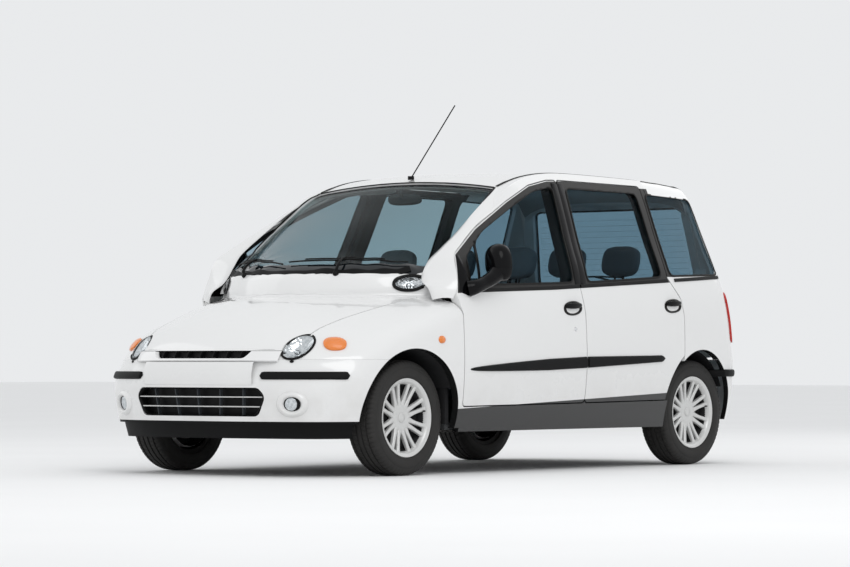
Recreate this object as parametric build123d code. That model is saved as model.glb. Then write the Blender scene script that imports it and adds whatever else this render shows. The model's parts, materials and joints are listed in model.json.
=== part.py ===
from build123d import *
import os
from math import cos, hypot, radians, sin

os.makedirs("parts", exist_ok=True)

# A compact minivan in millimetres. The origin is on the ground under the middle of the
# car, +Z is up, the nose points to -Y and +X is the car's left side.

# ---- overall sizes ----
LENGTH = 3994
WIDTH = 1871
HEIGHT = 1670
WHEELBASE = 2666
FRONT_OVERHANG = 735
TRACK_FRONT = 1511
TRACK_REAR = 1508

# ---- wheels ----
TYRE_RADIUS = 303.5
TYRE_WIDTH = 185
RIM_RADIUS = 190.5
HUB_BORE = 29
RUNNING_GAP = 0.3
ARCH_CLEARANCE = 58
STEER_TYRE_REACH = 505

# ---- walls and gaps ----
SHUT_GAP = 6.5
SEAM = 0.5
DOOR_THICKNESS = 52
WALL = 40
BUMPER_WALL = 30
LID_WALL = 24
ROOF_WALL = 30
GLASS_THICKNESS = 5
GLASS_INSET = 9
MOULDING_DEPTH = 10

# ---- heights of the body's main lines ----
SILL_BOTTOM = 225
SILL_TOP = 362
FLOOR_BOTTOM = 235
FLOOR_THICKNESS = 30
BOOT_FLOOR = 372
BUMPER_TOP = 608
NOSE_TOP = 662
CREASE_HEIGHT = 954
SCREEN_FOOT_HEIGHT = 1066
BELT_FRONT = 968
BELT_REAR = 1062

# ---- lengths along the car ----
CREASE_BACK = 685
SCREEN_FOOT_BACK = 735
SCREEN_HEAD_BACK = 1775
FRONT_DOOR_START = 388
FRONT_DOOR_LENGTH = 1106
REAR_DOOR_LENGTH = 975
REAR_TOP_INSET = 285

HALF = WIDTH / 2 - MOULDING_DEPTH
FRONT_Y = -LENGTH / 2
REAR_Y = LENGTH / 2
FRONT_AXLE_Y = FRONT_Y + FRONT_OVERHANG
REAR_AXLE_Y = FRONT_AXLE_Y + WHEELBASE
CREASE_Y = FRONT_Y + CREASE_BACK
FOOT_Y = FRONT_Y + SCREEN_FOOT_BACK
HEAD_Y = FRONT_Y + SCREEN_HEAD_BACK
DOOR_A_Y = FRONT_AXLE_Y + FRONT_DOOR_START
DOOR_B_Y = DOOR_A_Y + FRONT_DOOR_LENGTH
DOOR_C_Y = DOOR_B_Y + REAR_DOOR_LENGTH
ROOF_END_Y = REAR_Y - REAR_TOP_INSET
ARCH_RADIUS = TYRE_RADIUS + ARCH_CLEARANCE


# ---- the body's skin, as a formula ----
def through(points, at):
    """Value at a place on the smooth, never overshooting curve through (place, value) points."""
    if at <= points[0][0]:
        (x0, y0), (x1, y1) = points[:2]
        return y0 + (at - x0) * (y1 - y0) / (x1 - x0)
    if at >= points[-1][0]:
        (x0, y0), (x1, y1) = points[-2:]
        return y1 + (at - x1) * (y1 - y0) / (x1 - x0)
    steps = [(b[0] - a[0], (b[1] - a[1]) / (b[0] - a[0])) for a, b in zip(points, points[1:])]
    slopes = [steps[0][1]]
    for (h0, d0), (h1, d1) in zip(steps, steps[1:]):
        w0 = 2 * h1 + h0
        w1 = h1 + 2 * h0
        slopes.append(0.0 if d0 * d1 <= 0 else (w0 + w1) / (w0 / d0 + w1 / d1))
    slopes.append(steps[-1][1])
    i = max(k for k in range(len(steps)) if points[k][0] <= at)
    h = steps[i][0]
    t = (at - points[i][0]) / h
    return ((1 + 2 * t) * (1 - t) ** 2 * points[i][1] + t * (1 - t) ** 2 * h * slopes[i]
            + t * t * (3 - 2 * t) * points[i + 1][1] + t * t * (t - 1) * h * slopes[i + 1])


def round_max(a, b, radius):
    """The larger of two distances, with the edge between them rounded."""
    return min(-radius, max(a, b)) + hypot(max(a + radius, 0), max(b + radius, 0))


SIDE_INSET = [
    (190, 66), (300, 36), (450, 10), (600, 0), (780, 5), (930, 18), (1050, 44),
    (HEIGHT - 370, 140), (HEIGHT - 120, 236), (HEIGHT, 292),
]
NOSE_PROFILE = [
    (190, 62), (290, 40), (400, 26), (525, 12), (600, 26), (640, 48), (NOSE_TOP, 66), (760, 150),
]
TAIL_PROFILE = [
    (190, 60), (300, 34), (450, 14), (600, 14), (700, 38), (850, 60), (1000, 96), (1100, 122),
    (HEIGHT - 320, 180), (HEIGHT - 120, 236), (HEIGHT - 20, 290),
]
BONNET_PROFILE = [
    (-0.15, NOSE_TOP - 130), (0, NOSE_TOP), (0.08, 722), (0.22, 772), (0.49, 846), (0.77, 912),
    (1, CREASE_HEIGHT),
]
ROOF_PROFILE = [
    (CREASE_Y, CREASE_HEIGHT), (FOOT_Y, SCREEN_FOOT_HEIGHT), (FOOT_Y + 250, 1203),
    (HEAD_Y - 350, HEIGHT - 240), (HEAD_Y, HEIGHT - 73), (HEAD_Y + 260, HEIGHT - 16),
    (HEAD_Y + 640, HEIGHT), (HEAD_Y + 1250, HEIGHT - 8), (ROOF_END_Y - 120, HEIGHT - 36),
    (ROOF_END_Y + 20, HEIGHT - 70),
]
CROWN = [(CREASE_Y, 12), (HEAD_Y - 200, 40), (HEAD_Y, 46), (HEAD_Y + 500, 16), (ROOF_END_Y, 16)]
CORNER_ROUND = 150
SHOULDER_ROUND = 58
CANT_ROUND = 36
TAIL_ROUND = 95
NOSE_ROUND = 34


def taper(y):
    """How much narrower the body gets on each side towards its ends."""
    ahead = max(0, FRONT_AXLE_Y + 412 - y)
    behind = max(0, y - (REAR_AXLE_Y - 304))
    return 20 * (ahead / 412) ** 2 + 12 * (behind / 304) ** 2


def half_width(y, z):
    return HALF - taper(y) - through(SIDE_INSET, z)


def sweep_back(x):
    """How far the screen's foot and the bonnet's crease curve back away from the middle."""
    return 700 * (x / 1000) ** 2


def nose_curve(x, z):
    bend = through([(520, 380), (680, 560)], min(max(z, 520), 680))
    return bend * abs(x / 1000) ** 3


def front_face(x, z):
    return FRONT_Y + through(NOSE_PROFILE, z) + nose_curve(x, z)


def rear_face(x, z):
    return REAR_Y - through(TAIL_PROFILE, z) - 200 * abs(x / 1000) ** 3


def top_height(x, y):
    """Height of the bonnet, the band under the screen, the screen and the roof."""
    nose_y = FRONT_Y + 66 + nose_curve(x, 680)
    crease_y = CREASE_Y + sweep_back(x)
    if y < crease_y:
        return through(BONNET_PROFILE, (y - nose_y) / (crease_y - nose_y)) - 12 * (x / 700) ** 2
    swept = min(1, max(0, (HEAD_Y - y) / (HEAD_Y - crease_y)))
    crown = through(CROWN, y)
    return through(ROOF_PROFILE, y - sweep_back(x) * swept) - crown * (x / 650) ** 2


def skin_distance(x, y, z):
    """Negative inside the body, zero on its skin, positive outside."""
    side = abs(x) - half_width(y, z)
    over = z - top_height(x, y)
    high = min(1, max(0, (z - 900) / 200))
    sides = round_max(side, over, SHOULDER_ROUND + (CANT_ROUND - SHOULDER_ROUND) * high)
    front = front_face(x, z) - y
    rear = y - rear_face(x, z)
    ahead = round_max(sides, front, CORNER_ROUND if z < 600 else NOSE_ROUND + 60)
    return round_max(ahead, rear, TAIL_ROUND) if y > 0 else ahead


def side_distance(x, y, z):
    """Distance to the body's side alone, for panels that stay clear of its edges."""
    return abs(x) - half_width(y, z)


def top_distance(x, y, z):
    """Distance above the bonnet, screen and roof alone."""
    return z - top_height(x, y)


def meet(start, way, inset, skin=skin_distance):
    """The point where a ray from inside the body comes to its skin, or to a depth under it."""
    near, far = 0.0, 3000.0
    for _ in range(34):
        middle = (near + far) / 2
        if skin(*(s + w * middle for s, w in zip(start, way))) < -inset:
            near = middle
        else:
            far = middle
    return Vector(*(s + w * near for s, w in zip(start, way)))


def spaced(low, high, count):
    return [low + (high - low) * i / (count - 1) for i in range(count)]


def rib_curve(points):
    """A smooth curve through points, with evenly spaced knots so that ribs share them."""
    return Edge.make_spline(points, parameters=spaced(0, 1, len(points)))


def skin_slab(ray, across, up, depth, inset=0, skin=skin_distance):
    """A curved slab under the body's skin, between two depths, lofted from ribs."""
    ribs = []
    for u in across:
        outer = rib_curve([meet(*ray(u, v), inset, skin) for v in up])
        inner = rib_curve([meet(*ray(u, v), inset + depth, skin) for v in reversed(up)])
        ends = [Edge.make_line(outer @ 1, inner @ 0), Edge.make_line(inner @ 1, outer @ 0)]
        ribs.append(Wire([outer, ends[0], inner, ends[1]]))
    return Solid.make_loft(ribs)


# rays that reach each part of the skin squarely
def side_ray(y, z):
    return (0, y, z), (1, 0, 0)


def rear_corner_ray(turn, lift):
    a, b = radians(turn), radians(lift)
    return (220, REAR_AXLE_Y - 254, 930), (cos(a) * cos(b), sin(a) * cos(b), sin(b))


def front_corner_ray(turn, lift):
    a, b = radians(turn), radians(lift)
    return (280, FRONT_AXLE_Y + 12, 560), (cos(a) * cos(b), -sin(a) * cos(b), sin(b))


def front_ray(turn, z):
    return (0, FRONT_AXLE_Y + 112, z), (sin(radians(turn)), -cos(radians(turn)), 0)


def rear_ray(turn, z):
    return (0, REAR_AXLE_Y - 204, z), (sin(radians(turn)), cos(radians(turn)), 0)


def bonnet_ray(x, angle):
    return (x, CREASE_Y + sweep_back(x) + 80, 420), (0, -cos(radians(angle)), sin(radians(angle)))


def band_ray(x, angle):
    return (x, CREASE_Y + sweep_back(x) + 430, 740), (0, -cos(radians(angle)), sin(radians(angle)))


def up_ray(x, y):
    return (x, y, 800), (0, 0, 1)


def tail_ray(x, angle):
    return (x, REAR_AXLE_Y - 404, 1000), (0, cos(radians(angle)), sin(radians(angle)))


# ---- cutters, outlines and mirrors ----
FAR = 2600


def outline(points, radius):
    return make_face(FilletPolyline(*points, radius=radius, close=True).edges())


def through_side(points, radius=20):
    """A cutter along X from an outline of (y, z) points."""
    return extrude(Plane.YZ * outline(points, radius), FAR, both=True)


def through_front(points, radius=20):
    """A cutter along Y from an outline of (x, z) points."""
    return extrude(Plane.XZ * outline(points, radius), FAR, both=True)


def through_top(points, radius=20):
    """A cutter along Z from an outline of (x, y) points."""
    return extrude(Plane.XY * outline(points, radius), FAR, both=True)


def grown(cutter_of, points, gap, radius=20):
    """The same outline pushed outward, so that two pieces leave an even gap."""
    face = offset(outline(points, radius), gap, kind=Kind.ARC)
    plane = {through_side: Plane.YZ, through_front: Plane.XZ, through_top: Plane.XY}[cutter_of]
    return extrude(plane * face, FAR, both=True)


def block(x0, x1, y0, y1, z0, z1):
    return Pos((x0 + x1) / 2, (y0 + y1) / 2, (z0 + z1) / 2) * Box(abs(x1 - x0), abs(y1 - y0), abs(z1 - z0))


def across(radius, x0, x1, y, z):
    """A cylinder along X."""
    return Pos((x0 + x1) / 2, y, z) * Rot(0, 90, 0) * Cylinder(radius, abs(x1 - x0))


def mirrored(part):
    return mirror(part, about=Plane.YZ)


def save(name, *parts):
    solids = [s for p in parts for s in p.solids()]
    export_step(Compound(children=solids) if len(solids) > 1 else solids[0], f"parts/{name}.step")


# ---- outlines that neighbouring panels share ----
B = DOOR_B_Y
C = DOOR_C_Y
A = DOOR_A_Y
FRONT_DOOR = [
    (A + 8, SILL_TOP), (A, 560), (A, 850), (A - 40, BELT_FRONT - 20), (A + 20, BELT_FRONT + 200),
    (A + 278, HEIGHT - 355), (A + 634, HEIGHT - 198), (A + 890, HEIGHT - 100), (A + 1080, HEIGHT - 64),
    (B + 66, HEIGHT - 60), (B - 20, 1000), (B, 860), (B, SILL_TOP + 10),
]
REAR_DOOR = [
    (B + SHUT_GAP, SILL_TOP + 10), (B + SHUT_GAP, 860), (B - 20 + SHUT_GAP, 1000),
    (B + 66 + SHUT_GAP, HEIGHT - 60), (C - 100, HEIGHT - 66), (C - 115, BELT_REAR + 10),
    (C - 20, 955), (C, 860), (C - 10, 640), (C - 60, SILL_TOP + 20),
]
FRONT_GLASS = [
    (A + 92, BELT_FRONT + 36), (A + 108, BELT_FRONT + 190), (A + 330, HEIGHT - 366),
    (A + 670, HEIGHT - 222), (A + 910, HEIGHT - 128), (A + 1050, HEIGHT - 104), (B + 4, HEIGHT - 100),
    (B - 72, BELT_FRONT + 66),
]
REAR_GLASS = [
    (B + 62, BELT_FRONT + 70), (B + 128, HEIGHT - 100), (C - 162, HEIGHT - 104), (C - 166, BELT_REAR + 18),
]
QUARTER_GLASS = [
    (C - 80, BELT_REAR + 26), (C - 72, HEIGHT - 106), (REAR_Y - 352, HEIGHT - 122),
    (REAR_Y - 306, BELT_REAR + 44),
]
GUTTER = 618
ROOF_OUTLINE = [
    (-GUTTER - 6, HEAD_Y), (-GUTTER, 100), (-GUTTER, ROOF_END_Y - 350), (-GUTTER + 26, ROOF_END_Y),
    (GUTTER - 26, ROOF_END_Y), (GUTTER, ROOF_END_Y - 350), (GUTTER, 100), (GUTTER + 6, HEAD_Y),
]
SCREEN_SIDE = [(GUTTER + 10, HEAD_Y), (686, HEAD_Y - 330), (702, HEAD_Y - 560), (690, HEAD_Y - 690)]


def foot_line(x):
    return FOOT_Y + sweep_back(x)


def crease_line(x):
    return CREASE_Y + sweep_back(x)


def mirrored_points(points):
    return [(-x, y) for x, y in reversed(points)] + list(points)


SCREEN_OUTLINE = (
    [(-GUTTER - 10, HEAD_Y), (GUTTER + 10, HEAD_Y)]
    + SCREEN_SIDE[1:]
    + [(x, foot_line(x)) for x in (655, 520, 390, 260, 130, 0, -130, -260, -390, -520, -655)]
    + [(-x, y) for x, y in reversed(SCREEN_SIDE[1:])]
)
CREASE_STEPS = spaced(-700, 700, 11)
BONNET_SIDE = [(478, FRONT_Y + 120), (560, FRONT_Y + 270), (600, FRONT_Y + 520), (655, FRONT_Y + 760),
               (700, crease_line(700))]
BONNET_OUTLINE = (
    [(-x, y) for x, y in reversed(BONNET_SIDE)]
    + [(-470, FRONT_Y + 10), (470, FRONT_Y + 10)]
    + BONNET_SIDE
    + [(x, crease_line(x)) for x in reversed(CREASE_STEPS[1:-1])]
)
HEADLAMP_PLACE = (550, NOSE_TOP + 10)
HEADLAMP_SIZE = (66, 62)
HIGH_BEAM_PLACE = (647, CREASE_HEIGHT + 62)
HIGH_BEAM_SIZE = (62, 40)


def oval_cut(place, size, gap=0):
    return extrude(Plane.XZ * Pos(*place) * Ellipse(size[0] + gap, size[1] + gap), FAR, both=True)


def front_half():
    return block(-FAR, FAR, -FAR, FRONT_AXLE_Y + 500, -FAR, FAR)


def arch(y, inner_x, radius=ARCH_RADIUS):
    return across(radius, inner_x, FAR, y, TYRE_RADIUS)


# ---- body panels ----
def main_piece(part):
    """The one large solid of a panel, without the shavings that a slanting cut leaves."""
    return max(part.solids(), key=lambda solid: solid.volume)


def side_slab(depth, inset=0):
    ends = spaced(A - 90, C + 60, 12)
    return skin_slab(side_ray, ends, spaced(SILL_TOP - 60, HEIGHT - 40, 16), depth, inset, side_distance)


def ahead_of(y):
    return block(-FAR, FAR, -FAR, y, -FAR, FAR)


def behind(y):
    return block(-FAR, FAR, y, FAR, -FAR, FAR)


def above(z):
    return block(-FAR, FAR, -FAR, FAR, z, FAR)


def below(z):
    return block(-FAR, FAR, -FAR, FAR, -FAR, z)


JOIN_Y = REAR_AXLE_Y - 254
PILLAR_FOOT = BELT_FRONT + 6
TAIL_EDGE = 650
OPENING_DEPTH = DOOR_THICKNESS + 40
BAND_REACH = 728
band_area = (
    [(x, crease_line(x)) for x in [-BAND_REACH] + CREASE_STEPS + [BAND_REACH]]
    + [(BAND_REACH, HEAD_Y - 650), (-BAND_REACH, HEAD_Y - 650)]
)

# pillar with cant rail, and sill, then the quarter panel behind the rear door
HULL_DEPTH = HEIGHT - PILLAR_FOOT + 20


def upper_hull(inset, more):
    """One side of the body above the belt, filled in, down from a depth under its skin."""
    ends = spaced(A - 60 - more, JOIN_Y + 50 + more, 14)
    side = skin_slab(side_ray, ends, spaced(PILLAR_FOOT - 60 - more, HEIGHT + 10, 16), 360 + more, inset,
                     side_distance)
    ends = spaced(A - 140 - more, JOIN_Y + 120 + more, 20)
    top = skin_slab(up_ray, spaced(480 - more, 900 + more, 12), ends, HULL_DEPTH + more, inset, top_distance)
    return side & top


TAIL_TOP = HEIGHT - 66
TAIL_SLANT = 60
TAIL_OPENING = [
    (-10, 0), (TAIL_EDGE + SHUT_GAP, 0), (TAIL_EDGE + SHUT_GAP, BELT_REAR + 30),
    (TAIL_EDGE - TAIL_SLANT + SHUT_GAP, TAIL_TOP), (TAIL_EDGE - TAIL_SLANT + SHUT_GAP, FAR), (-10, FAR),
]
sill_heights = spaced(SILL_BOTTOM - 20, PILLAR_FOOT, 16)
sill_slab = skin_slab(side_ray, spaced(A - 40, JOIN_Y + 50, 12), sill_heights, WALL, 0, side_distance)
rear_corner = skin_slab(rear_corner_ray, spaced(-18, 112, 26), spaced(-38, 68, 30), WALL)
opening_slab = side_slab(OPENING_DEPTH, -20)
door_holes = [opening_slab & grown(through_side, door, SHUT_GAP) for door in (FRONT_DOOR, REAR_DOOR)]
band_prism = extrude(make_face(Polyline(*band_area, close=True).edges()), FAR)
rail = (upper_hull(0, 0) - upper_hull(WALL, 20)) & ahead_of(JOIN_Y) & above(PILLAR_FOOT)
sill = sill_slab & ahead_of(JOIN_Y) & above(SILL_BOTTOM) & behind(A + 8)
for hole in door_holes:
    rail -= hole
    sill -= hole
rail -= grown(through_top, ROOF_OUTLINE, SEAM)
rail -= grown(through_top, SCREEN_OUTLINE, SEAM, 12)
rail -= band_prism
rail = main_piece(rail - through_side(QUARTER_GLASS, 40))
sill = main_piece(sill - arch(REAR_AXLE_Y, 0))
quarter = rear_corner & behind(JOIN_Y + SEAM) & above(SILL_BOTTOM)
quarter -= door_holes[1]
quarter -= grown(through_top, ROOF_OUTLINE, SEAM)
quarter -= arch(REAR_AXLE_Y, 0)
quarter -= through_side(QUARTER_GLASS, 40)
quarter -= extrude(Plane.XZ * make_face(Polyline(*TAIL_OPENING, close=True).edges()), FAR, both=True)
quarter -= block(0, FAR, REAR_AXLE_Y + 150, FAR, -FAR, BUMPER_TOP + SEAM)

LAMP_BOTTOM = 690
LAMP_TOP = BELT_REAR - 20
LAMP_OUTLINE = [
    (REAR_Y - 235, LAMP_TOP - 40), (REAR_Y - 200, LAMP_BOTTOM + 20), (REAR_Y + 60, LAMP_BOTTOM),
    (REAR_Y + 60, LAMP_TOP),
]
LAMP_BULGE = 16
lamp_slab = skin_slab(rear_corner_ray, spaced(20, 112, 18), spaced(-22, 12, 10), WALL + LAMP_BULGE,
                      -LAMP_BULGE)
lamp_slab &= block(TAIL_EDGE + SHUT_GAP, FAR, -FAR, FAR, -FAR, FAR)
tail_lamp = main_piece(lamp_slab & through_side(LAMP_OUTLINE, 40))
quarter = main_piece(quarter - grown(through_side, LAMP_OUTLINE, SEAM, 40))
# a stop behind the tailgate's edge, which it rests on when it is shut
STOP_Z = BELT_REAR + 60
stop_heights = (STOP_Z - 20, STOP_Z + 20)
stop_y = min(meet((TAIL_EDGE - 8, REAR_AXLE_Y, z), (0, 1, 0), WALL + 2 * RUNNING_GAP).Y for z in stop_heights)
quarter += block(TAIL_EDGE - 24, TAIL_EDGE + 50, stop_y - 20, stop_y, STOP_Z - 20, STOP_Z + 20)

save("body_side_left", rail, sill)
save("body_side_right", mirrored(rail), mirrored(sill))
save("quarter_panels", quarter, mirrored(quarter))
save("tail_lamps", tail_lamp, mirrored(tail_lamp))

# inner pillar between the doors, just inside their closed position
POST_DEPTH = 34
POST_INSET = DOOR_THICKNESS + SHUT_GAP + 4
FLOOR_TOP = FLOOR_BOTTOM + FLOOR_THICKNESS
post_slab = skin_slab(side_ray, spaced(B - 120, B + 160, 5), spaced(SILL_BOTTOM + 20, HEIGHT - 60, 12),
                      POST_DEPTH, POST_INSET, side_distance)
CENTRE_POST = [(B - 50, FLOOR_TOP + RUNNING_GAP), (B - 60, 1000), (B + 28, HEIGHT - 78),
               (B + 118, HEIGHT - 78), (B + 50, 1000), (B + 70, FLOOR_TOP + RUNNING_GAP)]
centre_post = main_piece(post_slab & through_side(CENTRE_POST, 2))
STRIKER_Z = 600
STRIKER_X = min(half_width(B, STRIKER_Z + z) for z in (-20, 20)) - DOOR_THICKNESS - RUNNING_GAP
for y in (B - 32, B + 46):
    centre_post += block(STRIKER_X - SHUT_GAP - 14, STRIKER_X, y - 12, y + 12, STRIKER_Z - 20, STRIKER_Z + 20)
save("centre_posts", centre_post, mirrored(centre_post))

# roof and the band under the screen
roof = skin_slab(up_ray, spaced(-GUTTER - 24, GUTTER + 24, 14), spaced(HEAD_Y - 40, ROOF_END_Y + 18, 16),
                 ROOF_WALL)
roof = main_piece(roof & through_top(ROOF_OUTLINE, 20))
save("roof_panel", roof)

BAND_WALL = 34
band_slab = skin_slab(band_ray, spaced(-745, 745, 24), spaced(14, 66, 14), BAND_WALL)
band = band_slab & band_prism
band -= grown(through_top, SCREEN_OUTLINE, SEAM, 12)
for x in (-1, 1):
    band -= oval_cut((x * HIGH_BEAM_PLACE[0], HIGH_BEAM_PLACE[1]), HIGH_BEAM_SIZE, SEAM) & front_half()
save("scuttle_panel", main_piece(band))
high_beam = skin_slab(band_ray, spaced(570, 745, 8), spaced(14, 66, 10), BAND_WALL)
high_beam = high_beam - grown(through_top, SCREEN_OUTLINE, SEAM, 12)
high_beam = main_piece(high_beam & oval_cut(HIGH_BEAM_PLACE, HIGH_BEAM_SIZE))
save("high_beam_lamps", high_beam, mirrored(high_beam))

# fixed glass
screen_slab = skin_slab(up_ray, spaced(-700, 700, 14), spaced(FOOT_Y - 20, HEAD_Y + 20, 16),
                        GLASS_THICKNESS, GLASS_INSET)
screen = main_piece(screen_slab & through_top(SCREEN_OUTLINE, 12))
save("windscreen", screen)


def side_glass(points, depth=GLASS_INSET):
    ends = spaced(min(y for y, z in points) - 20, max(y for y, z in points) + 20, 8)
    tops = spaced(min(z for y, z in points) - 20, max(z for y, z in points) + 20, 10)
    slab = skin_slab(side_ray, ends, tops, GLASS_THICKNESS, depth, side_distance)
    return main_piece(slab & grown(through_side, points, -SEAM / 2, 40))


quarter_ends = spaced(-14, 60, 14)
quarter_glass = skin_slab(rear_corner_ray, quarter_ends, spaced(-4, 60, 14), GLASS_THICKNESS, GLASS_INSET)
quarter_glass = main_piece(quarter_glass & grown(through_side, QUARTER_GLASS, -SEAM / 2, 40))
save("quarter_windows", quarter_glass, mirrored(quarter_glass))

# doors with their windows cut, and the glass in them
door_slab = side_slab(DOOR_THICKNESS)
roof_clearance = grown(through_top, ROOF_OUTLINE, SHUT_GAP)
for side_name, flip in (("left", False), ("right", True)):
    for place, door, glass in (("front", FRONT_DOOR, FRONT_GLASS), ("rear", REAR_DOOR, REAR_GLASS)):
        panel = door_slab & through_side(door, 24)
        panel -= through_side(glass, 40)
        panel -= roof_clearance
        panel = main_piece(panel - arch(REAR_AXLE_Y, 0, ARCH_RADIUS + SHUT_GAP + 20))
        pane = side_glass(glass, GLASS_INSET)
        save(f"{place}_door_{side_name}", mirrored(panel) if flip else panel)
        save(f"{place}_door_glass_{side_name}", mirrored(pane) if flip else pane)

# bonnet, wings, bumper and lamps at the nose
bonnet_slab = skin_slab(bonnet_ray, spaced(-708, 708, 24), spaced(14, 84, 20), LID_WALL)
bonnet = bonnet_slab & grown(through_top, BONNET_OUTLINE, -SHUT_GAP, 10)
bonnet &= above(NOSE_TOP - 8)
for x in (-1, 1):
    lamp_place = (x * HEADLAMP_PLACE[0], HEADLAMP_PLACE[1])
    bonnet -= oval_cut(lamp_place, HEADLAMP_SIZE, SHUT_GAP) & front_half()
save("bonnet", main_piece(bonnet))

headlamp_hole = oval_cut(HEADLAMP_PLACE, HEADLAMP_SIZE, SEAM) & front_half()
wing = skin_slab(front_corner_ray, spaced(-38, 92, 24), spaced(-30, 62, 22), WALL)
wing &= block(0, FAR, -FAR, A + 8 - SEAM, SILL_BOTTOM + 20, PILLAR_FOOT - SEAM)
wing -= grown(through_side, FRONT_DOOR, SHUT_GAP)
wing -= grown(through_top, BONNET_OUTLINE, SEAM, 10)
wing -= band_prism
wing -= headlamp_hole
wing -= arch(FRONT_AXLE_Y, 0)
wing -= block(0, FAR, -FAR, FRONT_AXLE_Y - 150, -FAR, BUMPER_TOP + SEAM)
wing = main_piece(wing)
save("front_wings", wing, mirrored(wing))

LAMP_DEPTH = 30
lamp = skin_slab(front_ray, spaced(14, 60, 12), spaced(NOSE_TOP - 80, NOSE_TOP + 95, 9), LAMP_DEPTH, 2)
headlamp = main_piece(lamp & oval_cut(HEADLAMP_PLACE, HEADLAMP_SIZE))
save("headlamps", headlamp, mirrored(headlamp))

BUMPER_BOTTOM = 287
SKIRT_BOTTOM = 198
GRILLE_OUTLINE = [(-397, 314), (-446, 418), (-405, 462), (405, 462), (446, 418), (397, 314)]
GRILLE_CORNER = 40
front_wrap = skin_slab(front_ray, spaced(-80, 80, 28), spaced(SKIRT_BOTTOM, BUMPER_TOP, 10), BUMPER_WALL)
both_arches = [across(ARCH_RADIUS, -FAR, FAR, y, TYRE_RADIUS) for y in (FRONT_AXLE_Y, REAR_AXLE_Y)]
front_wrap = (front_wrap - both_arches[0]) & ahead_of(FRONT_AXLE_Y - 150)
bumper = front_wrap & above(BUMPER_BOTTOM + SEAM)
bumper -= grown(through_front, GRILLE_OUTLINE, SEAM, GRILLE_CORNER)
bumper = bumper - headlamp_hole - mirrored(headlamp_hole)
save("front_bumper", main_piece(bumper))

# the lip under the bumper stands back from it, under a ledge
LIP_INSET = 42
LEDGE_HEIGHT = 12
lip_heights = spaced(SKIRT_BOTTOM, BUMPER_BOTTOM + 40, 6)
lip = skin_slab(front_ray, spaced(-80, 80, 28), lip_heights, BUMPER_WALL, LIP_INSET) & below(BUMPER_BOTTOM)
ledge = skin_slab(front_ray, spaced(-80, 80, 28), lip_heights, LIP_INSET + BUMPER_WALL - 8, 6)
ledge = ledge & below(BUMPER_BOTTOM) & above(BUMPER_BOTTOM - LEDGE_HEIGHT)
front_skirt = (lip + ledge - both_arches[0]) & ahead_of(FRONT_AXLE_Y - 150)
save("front_skirt", main_piece(front_skirt))

GRILLE_DEPTH = 12
GRILLE_SPACING_X = 158
GRILLE_SPACING_Z = 43
grille = skin_slab(front_ray, spaced(-26, 26, 10), spaced(300, 480, 6), GRILLE_DEPTH, 14)
grille = grille & through_front(GRILLE_OUTLINE, GRILLE_CORNER)
for row in range(3):
    for column in range(5):
        hole = RectangleRounded(GRILLE_SPACING_X - 18, GRILLE_SPACING_Z - 13, 8)
        place = Pos((column - 2) * GRILLE_SPACING_X, 346 + row * GRILLE_SPACING_Z)
        grille -= extrude(Plane.XZ * place * hole, FAR)
save("radiator_grille", main_piece(grille))

# back end
TAILGATE_BOTTOM = BUMPER_TOP + 12
tail_slab = skin_slab(tail_ray, spaced(-TAIL_EDGE, TAIL_EDGE, 18), spaced(-25, 45, 22), WALL)
TAILGATE = [
    (-TAIL_EDGE, TAILGATE_BOTTOM), (-TAIL_EDGE, BELT_REAR + 30), (-TAIL_EDGE + TAIL_SLANT, TAIL_TOP),
    (TAIL_EDGE - TAIL_SLANT, TAIL_TOP), (TAIL_EDGE, BELT_REAR + 30), (TAIL_EDGE, TAILGATE_BOTTOM),
]
TAIL_GLASS = [
    (-TAIL_EDGE + 60, BELT_REAR - 10), (-TAIL_EDGE + 108, HEIGHT - 160), (TAIL_EDGE - 108, HEIGHT - 160),
    (TAIL_EDGE - 60, BELT_REAR - 10),
]
tailgate = tail_slab & through_front(TAILGATE, 24) & behind(ROOF_END_Y + SHUT_GAP)
tailgate = main_piece(tailgate - through_front(TAIL_GLASS, 40))
save("tailgate", tailgate)
back_glass = skin_slab(tail_ray, spaced(-TAIL_EDGE, TAIL_EDGE, 12), spaced(-2, 40, 12), GLASS_THICKNESS,
                       GLASS_INSET)
back_glass = back_glass & grown(through_front, TAIL_GLASS, -SEAM / 2, 40) & behind(REAR_AXLE_Y)
save("tailgate_glass", main_piece(back_glass))

rear_wrap = skin_slab(rear_ray, spaced(-80, 80, 28), spaced(SKIRT_BOTTOM + 60, BUMPER_TOP, 10), BUMPER_WALL)
save("rear_bumper", main_piece((rear_wrap - both_arches[1]) & behind(REAR_AXLE_Y + 150)))

# ---- floor, bulkhead and what carries the wheels ----
BULKHEAD_Y = A - 30
BULKHEAD_WALL = 30
WELL_INNER_X = 600
KICK_UP_Y = REAR_AXLE_Y - 760
BOOT_END_Y = REAR_Y - 150
LINER = 6


def inner_half(y, z):
    """Half the width between the body's inner walls."""
    return half_width(y, z) - WALL - SEAM


def floor_plate(y0, y1, z0, z1):
    """A floor as wide as the body's inside."""
    edge = [(inner_half(y, z0), y) for y in spaced(y0, y1, 6)]
    plate = make_face(Polyline(*edge, *[(-x, y) for x, y in reversed(edge)], close=True).edges())
    return extrude(Pos(0, 0, z0) * plate, z1 - z0)


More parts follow.
